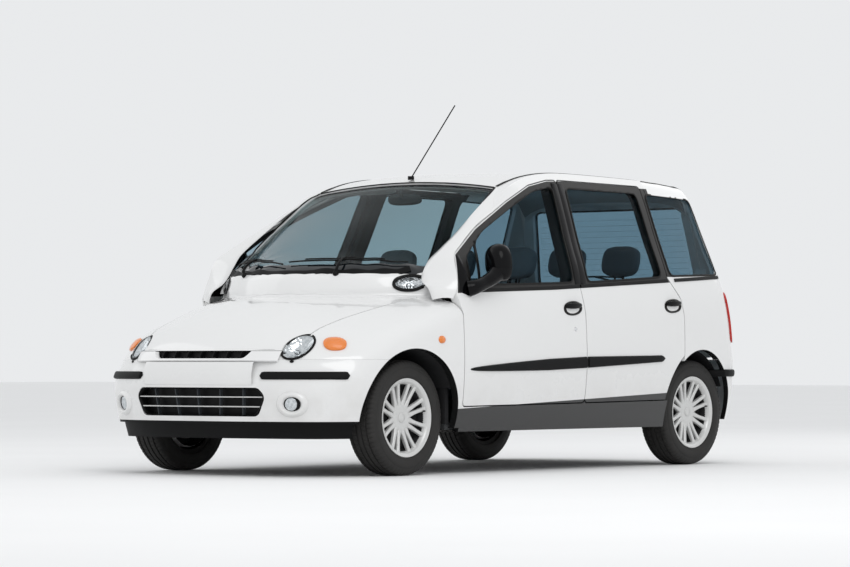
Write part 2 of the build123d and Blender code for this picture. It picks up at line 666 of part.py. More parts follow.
HUB_X_FRONT = TRACK_FRONT / 2
STEER_X = HUB_X_FRONT - 70
TYRE_SWEEP = hypot(TYRE_RADIUS, HUB_X_FRONT + TYRE_WIDTH / 2 - STEER_X) + 6
steer_clearance = [Pos(side * STEER_X, FRONT_AXLE_Y, TYRE_RADIUS) * Cylinder(TYRE_SWEEP, 2 * TYRE_RADIUS + 20)
                   for side in (-1, 1)]
well_cuts = [across(ARCH_RADIUS + LINER + SEAM, side * (WELL_INNER_X - LINER - SEAM), side * FAR,
                    REAR_AXLE_Y, TYRE_RADIUS) for side in (-1, 1)]
floor = floor_plate(BULKHEAD_Y - BULKHEAD_WALL, KICK_UP_Y, FLOOR_BOTTOM, FLOOR_TOP)
STEP_HALF = inner_half(KICK_UP_Y + 20, FLOOR_BOTTOM) - 2
floor += block(-STEP_HALF, STEP_HALF, KICK_UP_Y, KICK_UP_Y + 20, FLOOR_BOTTOM, BOOT_FLOOR)
boot = floor_plate(KICK_UP_Y, BOOT_END_Y, BOOT_FLOOR - 20, BOOT_FLOOR)
boot &= ahead_of(REAR_AXLE_Y + 200) + block(-WELL_INNER_X - 60, WELL_INNER_X + 60, -FAR, FAR, -FAR, FAR)
floor += boot
for cut in well_cuts + steer_clearance:
    floor -= cut
save("floor_pan", main_piece(floor))

BULKHEAD_HALF = inner_half(BULKHEAD_Y - BULKHEAD_WALL, FLOOR_TOP) - 4
bulkhead = block(-BULKHEAD_HALF, BULKHEAD_HALF, BULKHEAD_Y - BULKHEAD_WALL, BULKHEAD_Y,
                 FLOOR_TOP + RUNNING_GAP, BELT_FRONT - 100)
for cut in steer_clearance:
    bulkhead -= cut
save("bulkhead", bulkhead)


def liner(y, inner_x):
    """The curved inner lining of a wheel arch."""
    shell = across(ARCH_RADIUS + LINER, inner_x, FAR, y, TYRE_RADIUS)
    return shell - across(ARCH_RADIUS, inner_x - 1, FAR + 1, y, TYRE_RADIUS)


front_core = skin_slab(front_corner_ray, spaced(-38, 92, 20), spaced(-30, 50, 16), 260, WALL + 2)
front_core += block(0, 660, FRONT_AXLE_Y - 380, BULKHEAD_Y, SILL_BOTTOM, BUMPER_TOP + 100)
front_liner = liner(FRONT_AXLE_Y, STEER_TYRE_REACH - 20) & above(BUMPER_BOTTOM + SEAM) & front_core
front_liner = main_piece(front_liner & ahead_of(BULKHEAD_Y - BULKHEAD_WALL - SEAM))
WELL_END_Y = REAR_AXLE_Y + ARCH_RADIUS + LINER
rear_core = block(0, inner_half(WELL_END_Y, 500) - 10, -FAR, FAR, 450, FAR)
rear_core += block(0, inner_half(WELL_END_Y, FLOOR_BOTTOM) - 10, -FAR, FAR, -FAR, 450)
tub_wall = across(ARCH_RADIUS + LINER, WELL_INNER_X - LINER, WELL_INNER_X, REAR_AXLE_Y, TYRE_RADIUS)
tub_wall -= block(0, FAR, REAR_AXLE_Y - 390, REAR_AXLE_Y + 75, -FAR, 395)
rear_liner = (liner(REAR_AXLE_Y, WELL_INNER_X - LINER) & rear_core) + tub_wall
rear_liner = main_piece(rear_liner & above(FLOOR_BOTTOM))
save("wheel_arch_liners", front_liner, mirrored(front_liner), rear_liner, mirrored(rear_liner))

RAIL_TOP = 285
RAIL_HALF = 360
ENGINE_TOP = 690
ENGINE_BASE = RAIL_TOP + RUNNING_GAP
engine = block(-RAIL_HALF + 30, RAIL_HALF - 60, FRONT_AXLE_Y - 330, FRONT_AXLE_Y + 60, ENGINE_BASE,
               ENGINE_TOP)
save("engine", engine)

HUB_X_REAR = TRACK_REAR / 2
STUB_RADIUS = HUB_BORE - RUNNING_GAP
DISC_RADIUS = 128
UPRIGHT_BOTTOM = TYRE_RADIUS - 68
ARM_TOP = UPRIGHT_BOTTOM - 16
ARM_END = 14

# subframe rails, cross members and lower arms with their ball-joint posts
subframe = block(-RAIL_HALF, RAIL_HALF, FRONT_AXLE_Y + 90, FRONT_AXLE_Y + 200, 225, RAIL_TOP)
subframe += block(-RAIL_HALF, RAIL_HALF, FRONT_AXLE_Y - 460, FRONT_AXLE_Y - 400, 225, RAIL_TOP)
for side in (-1, 1):
    subframe += block(side * (RAIL_HALF - 60), side * RAIL_HALF, FRONT_AXLE_Y - 460,
                      BULKHEAD_Y - BULKHEAD_WALL - RUNNING_GAP, 225, RAIL_TOP)
    subframe += block(side * (RAIL_HALF - 30), side * STEER_X, FRONT_AXLE_Y - ARM_END, FRONT_AXLE_Y + ARM_END,
                      ARM_TOP - 22, ARM_TOP)
    subframe += Pos(side * STEER_X, FRONT_AXLE_Y, ARM_TOP - 11) * Cylinder(ARM_END, 22)
    subframe += block(side * (RAIL_HALF - 30), side * RAIL_HALF, FRONT_AXLE_Y - 40, FRONT_AXLE_Y + 40,
                      ARM_TOP - 22, 230)
    subframe += Pos(side * STEER_X, FRONT_AXLE_Y, (ARM_TOP + UPRIGHT_BOTTOM - RUNNING_GAP) / 2) * Cylinder(
        12, UPRIGHT_BOTTOM - RUNNING_GAP - ARM_TOP)

# radiator support with the bonnet's catch post
SUPPORT_Y = FRONT_AXLE_Y - 430
SUPPORT_TOP = 700
CATCH_HALF = 10
for side in (-1, 1):
    subframe += block(side * (RAIL_HALF - 40), side * RAIL_HALF, SUPPORT_Y - 15, SUPPORT_Y + 15,
                      RAIL_TOP - 5, SUPPORT_TOP)
subframe += block(-RAIL_HALF - 120, RAIL_HALF + 120, SUPPORT_Y - 15, SUPPORT_Y + 15,
                  SUPPORT_TOP - 40, SUPPORT_TOP)
catch_top = meet((0, SUPPORT_Y - CATCH_HALF, 420), (0, 0, 1), LID_WALL + RUNNING_GAP).Z
subframe += block(-CATCH_HALF, CATCH_HALF, SUPPORT_Y - CATCH_HALF, SUPPORT_Y + CATCH_HALF,
                  SUPPORT_TOP - 10, catch_top)
save("front_subframe", subframe)

RIM_HALF = 76
FLANGE = 8
FLANGE_RADIUS = RIM_RADIUS + 17
WELL_RADIUS = RIM_RADIUS - 16
SPOKE_PAIRS = 8
SPRING_RADIUS = 52


def wheel(x, y):
    """A cast wheel and its tyre, centred on its hub, with the hub face outward."""
    profile = [
        (HUB_BORE, 10), (HUB_BORE, 40), (60, 46), (92, 30), (WELL_RADIUS - 8, 44),
        (WELL_RADIUS, RIM_HALF + FLANGE),
        (FLANGE_RADIUS, RIM_HALF + FLANGE), (FLANGE_RADIUS, RIM_HALF), (RIM_RADIUS - 4, RIM_HALF - 4),
        (RIM_RADIUS - 4, RIM_HALF - 26), (WELL_RADIUS + 6, RIM_HALF - 38), (WELL_RADIUS + 6, -RIM_HALF + 38),
        (RIM_RADIUS - 4, -RIM_HALF + 26), (RIM_RADIUS - 4, -RIM_HALF + 4), (FLANGE_RADIUS, -RIM_HALF),
        (FLANGE_RADIUS, -RIM_HALF - FLANGE), (WELL_RADIUS, -RIM_HALF - FLANGE), (WELL_RADIUS - 6, -20),
        (WELL_RADIUS - 8, 26), (92, 8),
    ]
    rim = revolve(make_face(Polyline(*profile, close=True).edges()), Axis.Y)
    for k in range(SPOKE_PAIRS):
        window = Rot(0, 360 / SPOKE_PAIRS * k, 0) * Pos(128, 30, 0) * Box(58, 80, 62)
        rim -= window
    bead = RIM_RADIUS - 4 + RUNNING_GAP
    half = TYRE_WIDTH / 2
    tread = TYRE_RADIUS
    seat = RIM_HALF - 4 - 2 * RUNNING_GAP
    section = [(bead, -seat), (FLANGE_RADIUS + 1, -seat - 4), (FLANGE_RADIUS + 3, -half + 6),
               (bead + 56, -half), (tread - 30, -half + 4),
               (tread - 7, -half + 16), (tread, -half + 34)]
    section += [(r, -a) for r, a in reversed(section)]
    tyre = revolve(make_face(Polyline(*section, close=True).edges()), Axis.Y)
    place = Pos(x, y, TYRE_RADIUS) * Rot(0, 0, -90)
    return place * rim, place * tyre


def knuckle():
    """Upright, disc, stub and damper strut of a front wheel."""
    stub = across(STUB_RADIUS, HUB_X_FRONT - 60, HUB_X_FRONT + 30, FRONT_AXLE_Y, TYRE_RADIUS)
    disc = across(DISC_RADIUS, HUB_X_FRONT - 50, HUB_X_FRONT - 30, FRONT_AXLE_Y, TYRE_RADIUS)
    upright = block(STEER_X - 34, STEER_X + 18, FRONT_AXLE_Y - 40, FRONT_AXLE_Y + 40, UPRIGHT_BOTTOM,
                    TYRE_RADIUS + 80)
    strut_x = HUB_X_FRONT - TYRE_WIDTH / 2 - SPRING_RADIUS - 6
    link = block(strut_x, STEER_X - 20, FRONT_AXLE_Y - 22, FRONT_AXLE_Y + 22, TYRE_RADIUS + 10,
                 TYRE_RADIUS + 60)
    strut = Pos(strut_x, FRONT_AXLE_Y, TYRE_RADIUS + 165) * Cylinder(26, 330)
    spring = Pos(strut_x, FRONT_AXLE_Y, TYRE_RADIUS + 255) * Cylinder(SPRING_RADIUS, 150)
    return stub + disc + upright + link + strut + spring


for name, flip in (("left", False), ("right", True)):
    carrier = knuckle()
    save(f"knuckle_{name}", mirrored(carrier) if flip else carrier)
    for place, x, y in (("front", HUB_X_FRONT, FRONT_AXLE_Y), ("rear", HUB_X_REAR, REAR_AXLE_Y)):
        rim, tyre = wheel(x, y)
        save(f"{place}_rim_{name}", mirrored(rim) if flip else rim)
        save(f"{place}_tyre_{name}", mirrored(tyre) if flip else tyre)

PIVOT_Y = REAR_AXLE_Y - 330
PIVOT_Z = 296
TRAILING_X = 505
TUBE_RADIUS = 34
rear_axle = across(TUBE_RADIUS, -TRAILING_X - 30, TRAILING_X + 30, PIVOT_Y, PIVOT_Z)
for side in (-1, 1):
    rear_axle += block(side * (TRAILING_X - 30), side * (TRAILING_X + 30), PIVOT_Y - 10, REAR_AXLE_Y + 60,
                       PIVOT_Z - 28, PIVOT_Z + 40)
    rear_axle += across(STUB_RADIUS, side * TRAILING_X, side * (HUB_X_REAR + 30), REAR_AXLE_Y, TYRE_RADIUS)
    rear_axle += across(DISC_RADIUS - 18, side * (HUB_X_REAR - 66), side * (HUB_X_REAR - 30), REAR_AXLE_Y,
                        TYRE_RADIUS)
    rear_axle += block(side * (TRAILING_X - 60), side * (TRAILING_X - 20), PIVOT_Y - 20, PIVOT_Y + 20, 300,
                       BOOT_FLOOR - 20 - RUNNING_GAP)
save("rear_axle", rear_axle)

# exhaust and fuel tank under the floor
PIPE_RADIUS = 20
PIPE_Z = FLOOR_BOTTOM - RUNNING_GAP - PIPE_RADIUS
pipe_path = FilletPolyline((-90, FRONT_AXLE_Y + 300, PIPE_Z), (-90, KICK_UP_Y - 250, PIPE_Z),
                           (-430, KICK_UP_Y + 60, PIPE_Z), (-430, REAR_AXLE_Y + 200, PIPE_Z), radius=120)
exhaust = sweep(Plane(pipe_path @ 0, z_dir=pipe_path % 0) * Circle(PIPE_RADIUS), path=pipe_path)
UNDER_BOOT = BOOT_FLOOR - 20 - RUNNING_GAP
silencer = Box(420, 250, 120)
silencer = fillet(silencer.edges().filter_by(Axis.X), 50)
silencer = Pos(-330, REAR_AXLE_Y + 320, UNDER_BOOT - 60) * silencer
save("exhaust", exhaust, silencer)
tank = Box(700, 320, 140)
tank = Pos(120, KICK_UP_Y + 20 + RUNNING_GAP + 160, UNDER_BOOT - 70) * fillet(tank.edges(), 30)
save("fuel_tank", tank)

# ---- inside ----
DASH_DEPTH = 330
STEER_TILT = 28
STEER_CENTRE = (430, BULKHEAD_Y + 500, 925)
steer_place = Pos(*STEER_CENTRE) * Rot(STEER_TILT - 90, 0, 0)
DASH_HALF = inner_half(BULKHEAD_Y, 930) - DOOR_THICKNESS + WALL - SHUT_GAP - 75
dash = block(-DASH_HALF, DASH_HALF, BULKHEAD_Y + RUNNING_GAP, BULKHEAD_Y + DASH_DEPTH, 700, 925)
HUB_BACK = 23
COLUMN_LENGTH = 250
COLUMN_TOP = -HUB_BACK - RUNNING_GAP
dash += steer_place * Pos(0, 0, COLUMN_TOP - COLUMN_LENGTH / 2) * Cylinder(30, COLUMN_LENGTH)
save("dashboard", dash)


def seat_row(y, floor_top, spacing, cushion_half, cushion_bottom):
    """Three seats in a row, each with its base, cushion, back and headrest."""
    parts = []
    for x in (-spacing, 0, spacing):
        seat = block(x - 150, x + 150, y - 130, y + 210, floor_top + RUNNING_GAP, cushion_bottom + 20)
        seat += block(x - cushion_half, x + cushion_half, y - 210, y + 260, cushion_bottom,
                      cushion_bottom + 130)
        lean = Pos(x, y + 215, cushion_bottom + 100) * Rot(-14, 0, 0)
        seat += lean * Pos(0, 55, 270) * Box(2 * cushion_half, 110, 560)
        seat += lean * Pos(0, 60, 560) * Box(80, 40, 120)
        seat += lean * Pos(0, 55, 660) * Box(250, 90, 180)
        parts.append(seat)
    return parts


save("front_seats", *seat_row(-190, FLOOR_TOP, 430, 190, 370))
save("rear_seats", *seat_row(KICK_UP_Y + 240, BOOT_FLOOR, 390, 182, BOOT_FLOOR + 30))

wheel_ring = revolve(Plane.XZ * Pos(180, 0) * Circle(14), Axis.Z)
steering_wheel = Pos(0, 0, 22 - HUB_BACK) * Cylinder(52, 44) + Box(340, 40, 16)
steering_wheel += Pos(0, 90, 0) * Box(36, 165, 16)
steering_wheel += wheel_ring
save("steering_wheel", steer_place * steering_wheel)

# mirrors on the doors: a foot at the window's front corner, a stalk and a head
MIRROR_FOOT_Y = A + 62
MIRROR_FOOT_Z = 985
MIRROR_X = HALF + 18
MIRROR_Y = A + 266
MIRROR_Z = 1128
MIRROR_SIZE = (132, 86, 200)
foot_skin = max(half_width(MIRROR_FOOT_Y, z) for z in (MIRROR_FOOT_Z - 26, MIRROR_FOOT_Z + 26))
mirror_head = Box(*MIRROR_SIZE)
mirror_head = fillet(mirror_head.edges().filter_by(Axis.Y), 52)
mirror_head = Pos(MIRROR_X, MIRROR_Y, MIRROR_Z) * Rot(0, 0, -8) * mirror_head
mirror_stalk = [
    (MIRROR_FOOT_Y - 30, MIRROR_FOOT_Z - 16), (MIRROR_FOOT_Y + 30, MIRROR_FOOT_Z - 22),
    (MIRROR_Y + 10, MIRROR_Z - 76), (MIRROR_Y - 36, MIRROR_Z - 48), (MIRROR_FOOT_Y + 20, MIRROR_FOOT_Z + 26),
]
door_mirror = mirror_head + extrude(Plane.YZ * Pos(0, 0, foot_skin + 10) * outline(mirror_stalk, 8), 46)
door_mirror += block(foot_skin + RUNNING_GAP, foot_skin + 14, MIRROR_FOOT_Y - 40, MIRROR_FOOT_Y + 40,
                     MIRROR_FOOT_Z - 26, MIRROR_FOOT_Z + 26)
save("door_mirror_left", door_mirror)
save("door_mirror_right", mirrored(door_mirror))

AERIAL_Y = HEAD_Y + 52
AERIAL_LEAN = 43
AERIAL_LENGTH = 590
aerial_foot = top_height(0, AERIAL_Y + 18) + RUNNING_GAP
AERIAL_BASE = 20
aerial = Pos(0, AERIAL_Y, aerial_foot + 8) * Rot(-AERIAL_LEAN, 0, 0)
aerial = aerial * Pos(0, 0, AERIAL_LENGTH / 2) * Cylinder(3.5, AERIAL_LENGTH)
aerial += Pos(0, AERIAL_Y, aerial_foot + AERIAL_BASE / 2) * Cylinder(18, AERIAL_BASE)
save("aerial", aerial)
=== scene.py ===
"""A compact minivan: paint, glass, trim, lamps, wheels and cabin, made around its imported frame."""

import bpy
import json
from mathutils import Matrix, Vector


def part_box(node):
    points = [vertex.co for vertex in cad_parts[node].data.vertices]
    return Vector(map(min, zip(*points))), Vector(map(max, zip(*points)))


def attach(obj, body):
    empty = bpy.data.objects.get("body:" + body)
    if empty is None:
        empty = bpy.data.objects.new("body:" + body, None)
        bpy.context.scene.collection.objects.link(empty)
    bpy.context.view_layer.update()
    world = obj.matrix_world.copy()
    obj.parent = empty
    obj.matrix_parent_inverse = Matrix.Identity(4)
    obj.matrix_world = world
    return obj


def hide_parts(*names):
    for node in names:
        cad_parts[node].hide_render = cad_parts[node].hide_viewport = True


bl_info = {
    "name": "Compact Minivan",
    "version": (1, 0, 0),
    "blender": (4, 5, 0),
    "location": "3D View > Sidebar > Minivan",
    "description": "Finishes a compact minivan: paint, glass, trim, lamps, wheels and cabin",
    "category": "Object",
}

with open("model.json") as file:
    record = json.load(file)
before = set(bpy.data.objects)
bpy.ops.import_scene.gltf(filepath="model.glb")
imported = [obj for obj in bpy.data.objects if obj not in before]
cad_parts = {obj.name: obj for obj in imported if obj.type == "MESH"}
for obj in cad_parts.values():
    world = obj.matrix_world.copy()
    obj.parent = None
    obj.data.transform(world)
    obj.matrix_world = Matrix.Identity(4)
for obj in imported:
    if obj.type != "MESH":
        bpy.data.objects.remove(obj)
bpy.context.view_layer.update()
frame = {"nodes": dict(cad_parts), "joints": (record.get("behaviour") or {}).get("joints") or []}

import json
import math

import bpy
from bpy.props import FloatProperty, FloatVectorProperty, IntProperty, PointerProperty
from mathutils import Matrix, Vector
from mathutils.bvhtree import BVHTree

NODES = frame["nodes"]
SIDES = {"left": 1, "right": -1}


def joint_of(name):
    return next(joint for joint in frame["joints"] if joint["name"] == name)


# ---- sizes and colours that a user may change ----
def colour(name, description, default):
    return FloatVectorProperty(name=name, description=description, default=default, subtype="COLOR",
                               size=3, min=0, max=1)


def length(name, description, default):
    return FloatProperty(name=name, description=description, default=default, min=0, unit="LENGTH")


class MinivanColours(bpy.types.PropertyGroup):
    """Colours of the car's finishes."""

    paint: colour("Body paint", "Gloss paint of the body panels", (0.80, 0.80, 0.795))
    frames: colour("Window frames", "Satin finish of the door frames above the belt", (0.012, 0.011, 0.0105))
    # Trim plastic: black plastic made darker still than real plastic, as painted shade for the shade under
    # the car on the sills and skirts.
    plastic: colour("Trim plastic", "Grained plastic of sills, skirts and mouldings", (0.0035, 0.0037, 0.004))
    glass: colour("Glass tint", "Tint of the side and rear glass", (0.62, 0.72, 0.77))
    cloth: colour("Seat cloth", "Woven cloth of the seats", (0.20, 0.215, 0.235))
    wheel: colour("Wheel paint", "Silver paint of the wheels", (0.72, 0.72, 0.71))
    orange: colour("Indicator lens", "Orange lenses", (0.98, 0.24, 0.0))
    red: colour("Tail lens", "Red lenses", (0.75, 0.02, 0.01))


class MinivanSizes(bpy.types.PropertyGroup):
    """Sizes of the car's trim."""

    gutter: length("Roof gutter width", "Width of the black strip along the roof's edge", 0.016)
    moulding: length("Moulding height", "Height of the mouldings along the doors", 0.062)
    moulding_depth: length("Moulding depth", "How far the mouldings stand off the doors", 0.012)
    belt: length("Belt strip height", "Height of the strip under the side windows", 0.020)
    tread_depth: length("Tread depth", "Depth of the tyre's grooves", 0.006)
    spoke_pairs: IntProperty(name="Spoke pairs", description="Twin spokes on each wheel", default=8, min=3)
    tread_pitches: IntProperty(name="Tread pitches", description="Cross grooves round each tyre", default=72,
                               min=12)


# ---- shader building ----
class Number:
    """A shader socket that can stand in a Python expression."""

    def __init__(self, finish, socket):
        self.finish = finish
        self.socket = socket

    def maths(self, operation, *items, clamp=False):
        settings = {"operation": operation, "use_clamp": clamp}
        return self.finish.node("ShaderNodeMath", settings, dict(enumerate(items)))

    def __add__(self, other):
        return self.maths("ADD", self, other)

    def __sub__(self, other):
        return self.maths("SUBTRACT", self, other)

    def __rsub__(self, other):
        return self.maths("SUBTRACT", other, self)

    def __mul__(self, other):
        return self.maths("MULTIPLY", self, other)

    def __pow__(self, other):
        return self.maths("POWER", self, other)

    def clamped(self):
        return self.maths("ADD", self, 0.0, clamp=True)

    __radd__ = __add__
    __rmul__ = __mul__


class Finish:
    """A procedural material that is built up from a few lines."""

    def __init__(self, name, **constants):
        self.material = bpy.data.materials.new(name)
        self.material.use_nodes = True
        self.tree = self.material.node_tree
        self.tree.nodes.clear()
        self.shader = self.tree.nodes.new("ShaderNodeBsdfPrincipled")
        self.set(**constants)
        output = self.tree.nodes.new("ShaderNodeOutputMaterial")
        self.tree.links.new(self.shader.outputs[0], output.inputs["Surface"])
        self.output = output

    def plug(self, socket, item):
        if isinstance(item, Number):
            self.tree.links.new(item.socket, socket)
        elif hasattr(item, "__len__") and len(item) == 3 and socket.type == "RGBA":
            socket.default_value = (*item, 1.0)
        else:
            socket.default_value = item

    def node(self, kind, settings=None, inputs=None, output=0):
        """Adds a node: its settings first, then its sockets, and gives back one output."""
        node = self.tree.nodes.new(kind)
        for key, value in (settings or {}).items():
            if key == "stops":
                ramp = node.color_ramp
                while len(ramp.elements) < len(value):
                    ramp.elements.new(0.5)
                for element, (place, shade) in zip(ramp.elements, value):
                    element.position = place
                    element.color = (shade, shade, shade, 1)
            else:
                setattr(node, key, value)
        for key, value in (inputs or {}).items():
            self.plug(node.inputs[key], value)
        return Number(self, node.outputs[output])

    def set(self, **values):
        """Shader sockets by name, with _ for a space."""
        for key, value in values.items():
            self.plug(self.shader.inputs[key.replace("_", " ")], value)
        return self

    def place(self):
        """Object coordinates in metres."""
        return self.node("ShaderNodeTexCoord", output=3)

    def part(self, axis):
        """One coordinate of the surface's place: 0, 1 or 2."""
        return self.node("ShaderNodeSeparateXYZ", None, {0: self.place()}, axis)

    def noise(self, scale, detail=2.0, roughness=0.5):
        inputs = {"Vector": self.place(), "Scale": scale, "Detail": detail, "Roughness": roughness}
        return self.node("ShaderNodeTexNoise", None, inputs)

    def cells(self, scale):
        return self.node("ShaderNodeTexVoronoi", None, {"Vector": self.place(), "Scale": scale})

    def wave(self, scale, direction):
        settings = {"bands_direction": direction}
        return self.node("ShaderNodeTexWave", settings, {"Vector": self.place(), "Scale": scale})

    def ramp(self, factor, *stops):
        return self.node("ShaderNodeValToRGB", {"stops": stops}, {0: factor})

    def mix(self, factor, first, second):
        """A blend of two colours."""
        settings = {"data_type": "RGBA"}
        return self.node("ShaderNodeMix", settings, {0: factor, 6: first, 7: second}, 2)

    def step(self, value, low, high):
        """0 below low, 1 above high, smooth between them."""
        return self.node("ShaderNodeMapRange", {"interpolation_type": "SMOOTHSTEP"},
                         {0: value, 1: low, 2: high})

    def between(self, value, low, high, blur):
        """1 between low and high, fading inside them."""
        return self.step(value, low, low + blur) * (1 - self.step(value, high - blur, high))

    def bump(self, height, distance, strength):
        self.set(Normal=self.node("ShaderNodeBump", None,
                                  {"Strength": strength, "Distance": distance, "Height": height}))
        return self


FINISHES = {}


def finish_of(name):
    if name not in FINISHES:
        FINISHES[name] = RECIPES[name]().material
    return FINISHES[name]


def colours():
    return bpy.context.scene.minivan_colours


def sizes():
    return bpy.context.scene.minivan_sizes


EDGE = 0.0006


def tone(base, factor):
    return tuple(min(1, c * factor) for c in base)


def coat_of_paint(name):
    """Gloss white paint with dark sills and arch edges: a clear coat with faint orange peel, and road film
    near the ground."""
    base = tuple(colours().paint)
    look = Finish(name, Coat_Roughness=0.035, Specular_IOR_Level=0.25)
    height = look.part(2)
    film = (1 - look.step(height, 0.18, 0.62)) * look.ramp(look.noise(6, 5, 0.6), (0.35, 0), (0.75, 1))
    cloud = look.noise(1.6, 3)
    shade = look.mix(cloud, tone(base, 0.975), base)
    look.set(Base_Color=look.mix(film * 0.35, shade, (0.42, 0.39, 0.35)), Roughness=0.26 + film * 0.3)
    look.bump(look.noise(420, 1), 0.00002, 0.25)
    # The sills and arch edges take the trim plastic colour. Part of it is painted shade: it is darker than
    # the real black plastic.
    return dark_over(look, (sill_mask(look) + arch_mask(look)).clamped(), colours().plastic, 0.6)


def dark_over(look, mask, base, roughness):
    """Lay a satin dark finish over the paint where a mask is one."""
    below = Number(look, look.shader.inputs["Base Color"].links[0].from_socket)
    gloss = Number(look, look.shader.inputs["Roughness"].links[0].from_socket)
    grain = look.noise(30, 4)
    dark = look.mix(grain, tone(base, 0.8), tone(base, 1.3))
    look.set(Base_Color=look.mix(mask, below, dark))
    look.set(Roughness=gloss * (1 - mask) + mask * roughness, Coat_Weight=1 - mask)
    return look


def arch_mask(look):
    """One on the cut edges of the wheel arches."""
    mask = None
    for y in AXLES:
        along, height = look.part(1) - y, look.part(2) - ARCH_CENTRE_Z
        far = (along * along + height * height) ** 0.5
        near = 1 - look.step(far, ARCH_RADIUS + 0.0008, ARCH_RADIUS + 0.0008 + EDGE)
        mask = near if mask is None else mask + near
    return mask.clamped()


def height_of(look, start, end):
    """Height of the straight line through two points (y, z), at each place along the car."""
    (y0, z0), (y1, z1) = start, end
    return (look.part(1) - y0) * ((z1 - z0) / (y1 - y0)) + z0


def sill_mask(look):
    """One below the line along the bottom of the doors, between the wheels."""
    below = 1 - look.step(look.part(2) - height_of(look, *SILL_LINE), -EDGE, EDGE)
    return below * look.between(look.part(1), -1.05, 1.17, 0.01)


def body_paint():
    """The panels' paint, with a dark pillar between the rear door and the quarter window."""
    look = coat_of_paint("gloss white paint")
    along, height = look.part(1), look.part(2)
    pillar = look.between(along, 1.085, 1.179, 0.001) * look.between(height, 1.082, 1.597, 0.001)
    return dark_over(look, pillar, colours().frames, 0.34)


def belt_mask(look):
    """One above the line that runs along the bottom of the side windows."""
    front, rear = (height_of(look, *ends) for ends in zip(BELT_LINE, BELT_LINE[1:3]))
    return look.step(look.part(2) - front.maths("MAXIMUM", front, rear), -EDGE, EDGE)


def frame_mask(look):
    """One inside the front door's outline, and nought on its cut edge next to the pillar."""
    mask = None
    for (y0, z0), (y1, z1) in zip(DOOR_FRONT_EDGE, DOOR_FRONT_EDGE[1:]):
        size = math.hypot(y1 - y0, z1 - z0)
        inside = (look.part(1) - y0) * ((z1 - z0) / size) - (look.part(2) - z0) * ((y1 - y0) / size)
        within = look.step(inside, 0.0030, 0.0030 + EDGE)
        mask = within if mask is None else mask * within
    return mask


def door_paint():
    """The doors' paint, with a satin dark frame round the windows above the belt."""
    look = coat_of_paint("door paint with dark frames")
    return dark_over(look, belt_mask(look) * frame_mask(look), colours().frames, 0.34)


def grained(name, base, roughness=0.55, scale=900, depth=0.00012):
    """Moulded plastic with a leather-like grain, dulled in patches."""
    look = Finish(name, Specular_IOR_Level=0.14)
    patches = look.noise(9, 4, 0.6)
    look.set(Base_Color=look.mix(patches, tone(base, 0.8), tone(base, 1.35)))
    look.set(Roughness=roughness + (patches - 0.5) * 0.16)
    look.bump(look.cells(scale) * 0.7 + look.noise(scale * 1.7) * 0.3, depth, 0.6)
    return look


def metal(name, base, roughness, scale, metallic, depth):
    """Bare or painted metal with faint patches."""
    look = Finish(name, Metallic=metallic)
    patches = look.noise(scale, 4, 0.6)
    look.set(Base_Color=look.mix(patches, tone(base, 0.82), base), Roughness=roughness + patches * 0.12)
    look.bump(patches, depth, 0.4)
    return look


def pane(name, tint, gloss, black=None):
    """Thin tinted glass: tinted light comes straight through and the surface mirrors its surroundings."""
    look = Finish(name, Base_Color=(0.004, 0.006, 0.008), Specular_IOR_Level=0.6)
    film = look.noise(3.0, 3)
    look.set(Roughness=gloss + film * 0.015)
    through = look.node("ShaderNodeBsdfTransparent", None, {0: (*tint, 1.0)})
    facing_away = look.node("ShaderNodeLayerWeight", None, {0: 0.5}, output=1)
    edge = facing_away ** 5 * 0.94 + 0.05
    solid = edge if black is None else black(look) + edge
    blend = look.node("ShaderNodeMixShader", None,
                      {0: solid.clamped(), 1: through, 2: Number(look, look.shader.outputs[0])})
    look.tree.links.new(blend.socket, look.output.inputs["Surface"])
    return look


def screen_edge(look):
    """The black border baked into the edge of the windscreen."""
    across = look.part(0).maths("ABSOLUTE", look.part(0))
    along = look.part(1)
    lower = 1 - look.step(along - across * across * 0.7, -1.192, -1.178)
    upper = look.step(along, -0.262, -0.232)
    return (lower + upper).clamped()


def rubber():
    """Tyre rubber, dusty in patches."""
    look = Finish("tyre rubber", Specular_IOR_Level=0.35)
    dust = look.noise(14, 5, 0.65)
    look.set(Base_Color=look.mix(dust, (0.012, 0.012, 0.012), (0.034, 0.032, 0.030)))
    look.set(Roughness=0.62 + dust * 0.2)
    look.bump(look.noise(600, 2), 0.00008, 0.5)
    return look


def cloth(name, base, scale):
    """Woven cloth: crossing threads, with a soft sheen."""
    look = Finish(name, Roughness=0.92, Sheen_Weight=0.25, Sheen_Roughness=0.5, Specular_IOR_Level=0.2)
    one = look.wave(scale, "X")
    other = look.wave(scale, "Z")
    weave = one.maths("MAXIMUM", one, other)
    melange = look.noise(260, 3, 0.7)
    shade = look.mix(melange, tone(base, 0.62), tone(base, 1.5))
    look.set(Base_Color=look.mix(weave * 0.4, tone(base, 0.7), shade))
    look.bump(weave, 0.0004, 0.5)
    return look


def lens(name, base, glow=0.0):
    """A moulded coloured lens with fine ribs behind a gloss face."""
    look = Finish(name, Roughness=0.08, Coat_Weight=1.0, Coat_Roughness=0.02, Specular_IOR_Level=0.6)
    facets = look.wave(300, "Z")
    shade = look.mix(facets, tone(base, 0.55), base)
    look.set(Base_Color=shade)
    look.bump(facets, 0.0006, 0.35)
    if glow:
        look.set(Emission_Color=shade, Emission_Strength=glow)
    return look


def reflector():
    """Bright faceted metal behind a lamp's lens."""
    look = Finish("lamp reflector", Metallic=1.0, Roughness=0.12)
    facets = look.cells(70)
    look.set(Base_Color=look.mix(facets, (0.62, 0.63, 0.64), (0.93, 0.93, 0.93)))
    look.bump(facets, 0.004, 0.5)
    return look


def mirror_glass():
    look = Finish("mirror glass", Metallic=1.0, Base_Color=(0.72, 0.76, 0.76))
    look.set(Roughness=0.02 + look.noise(40) * 0.03)
    return look


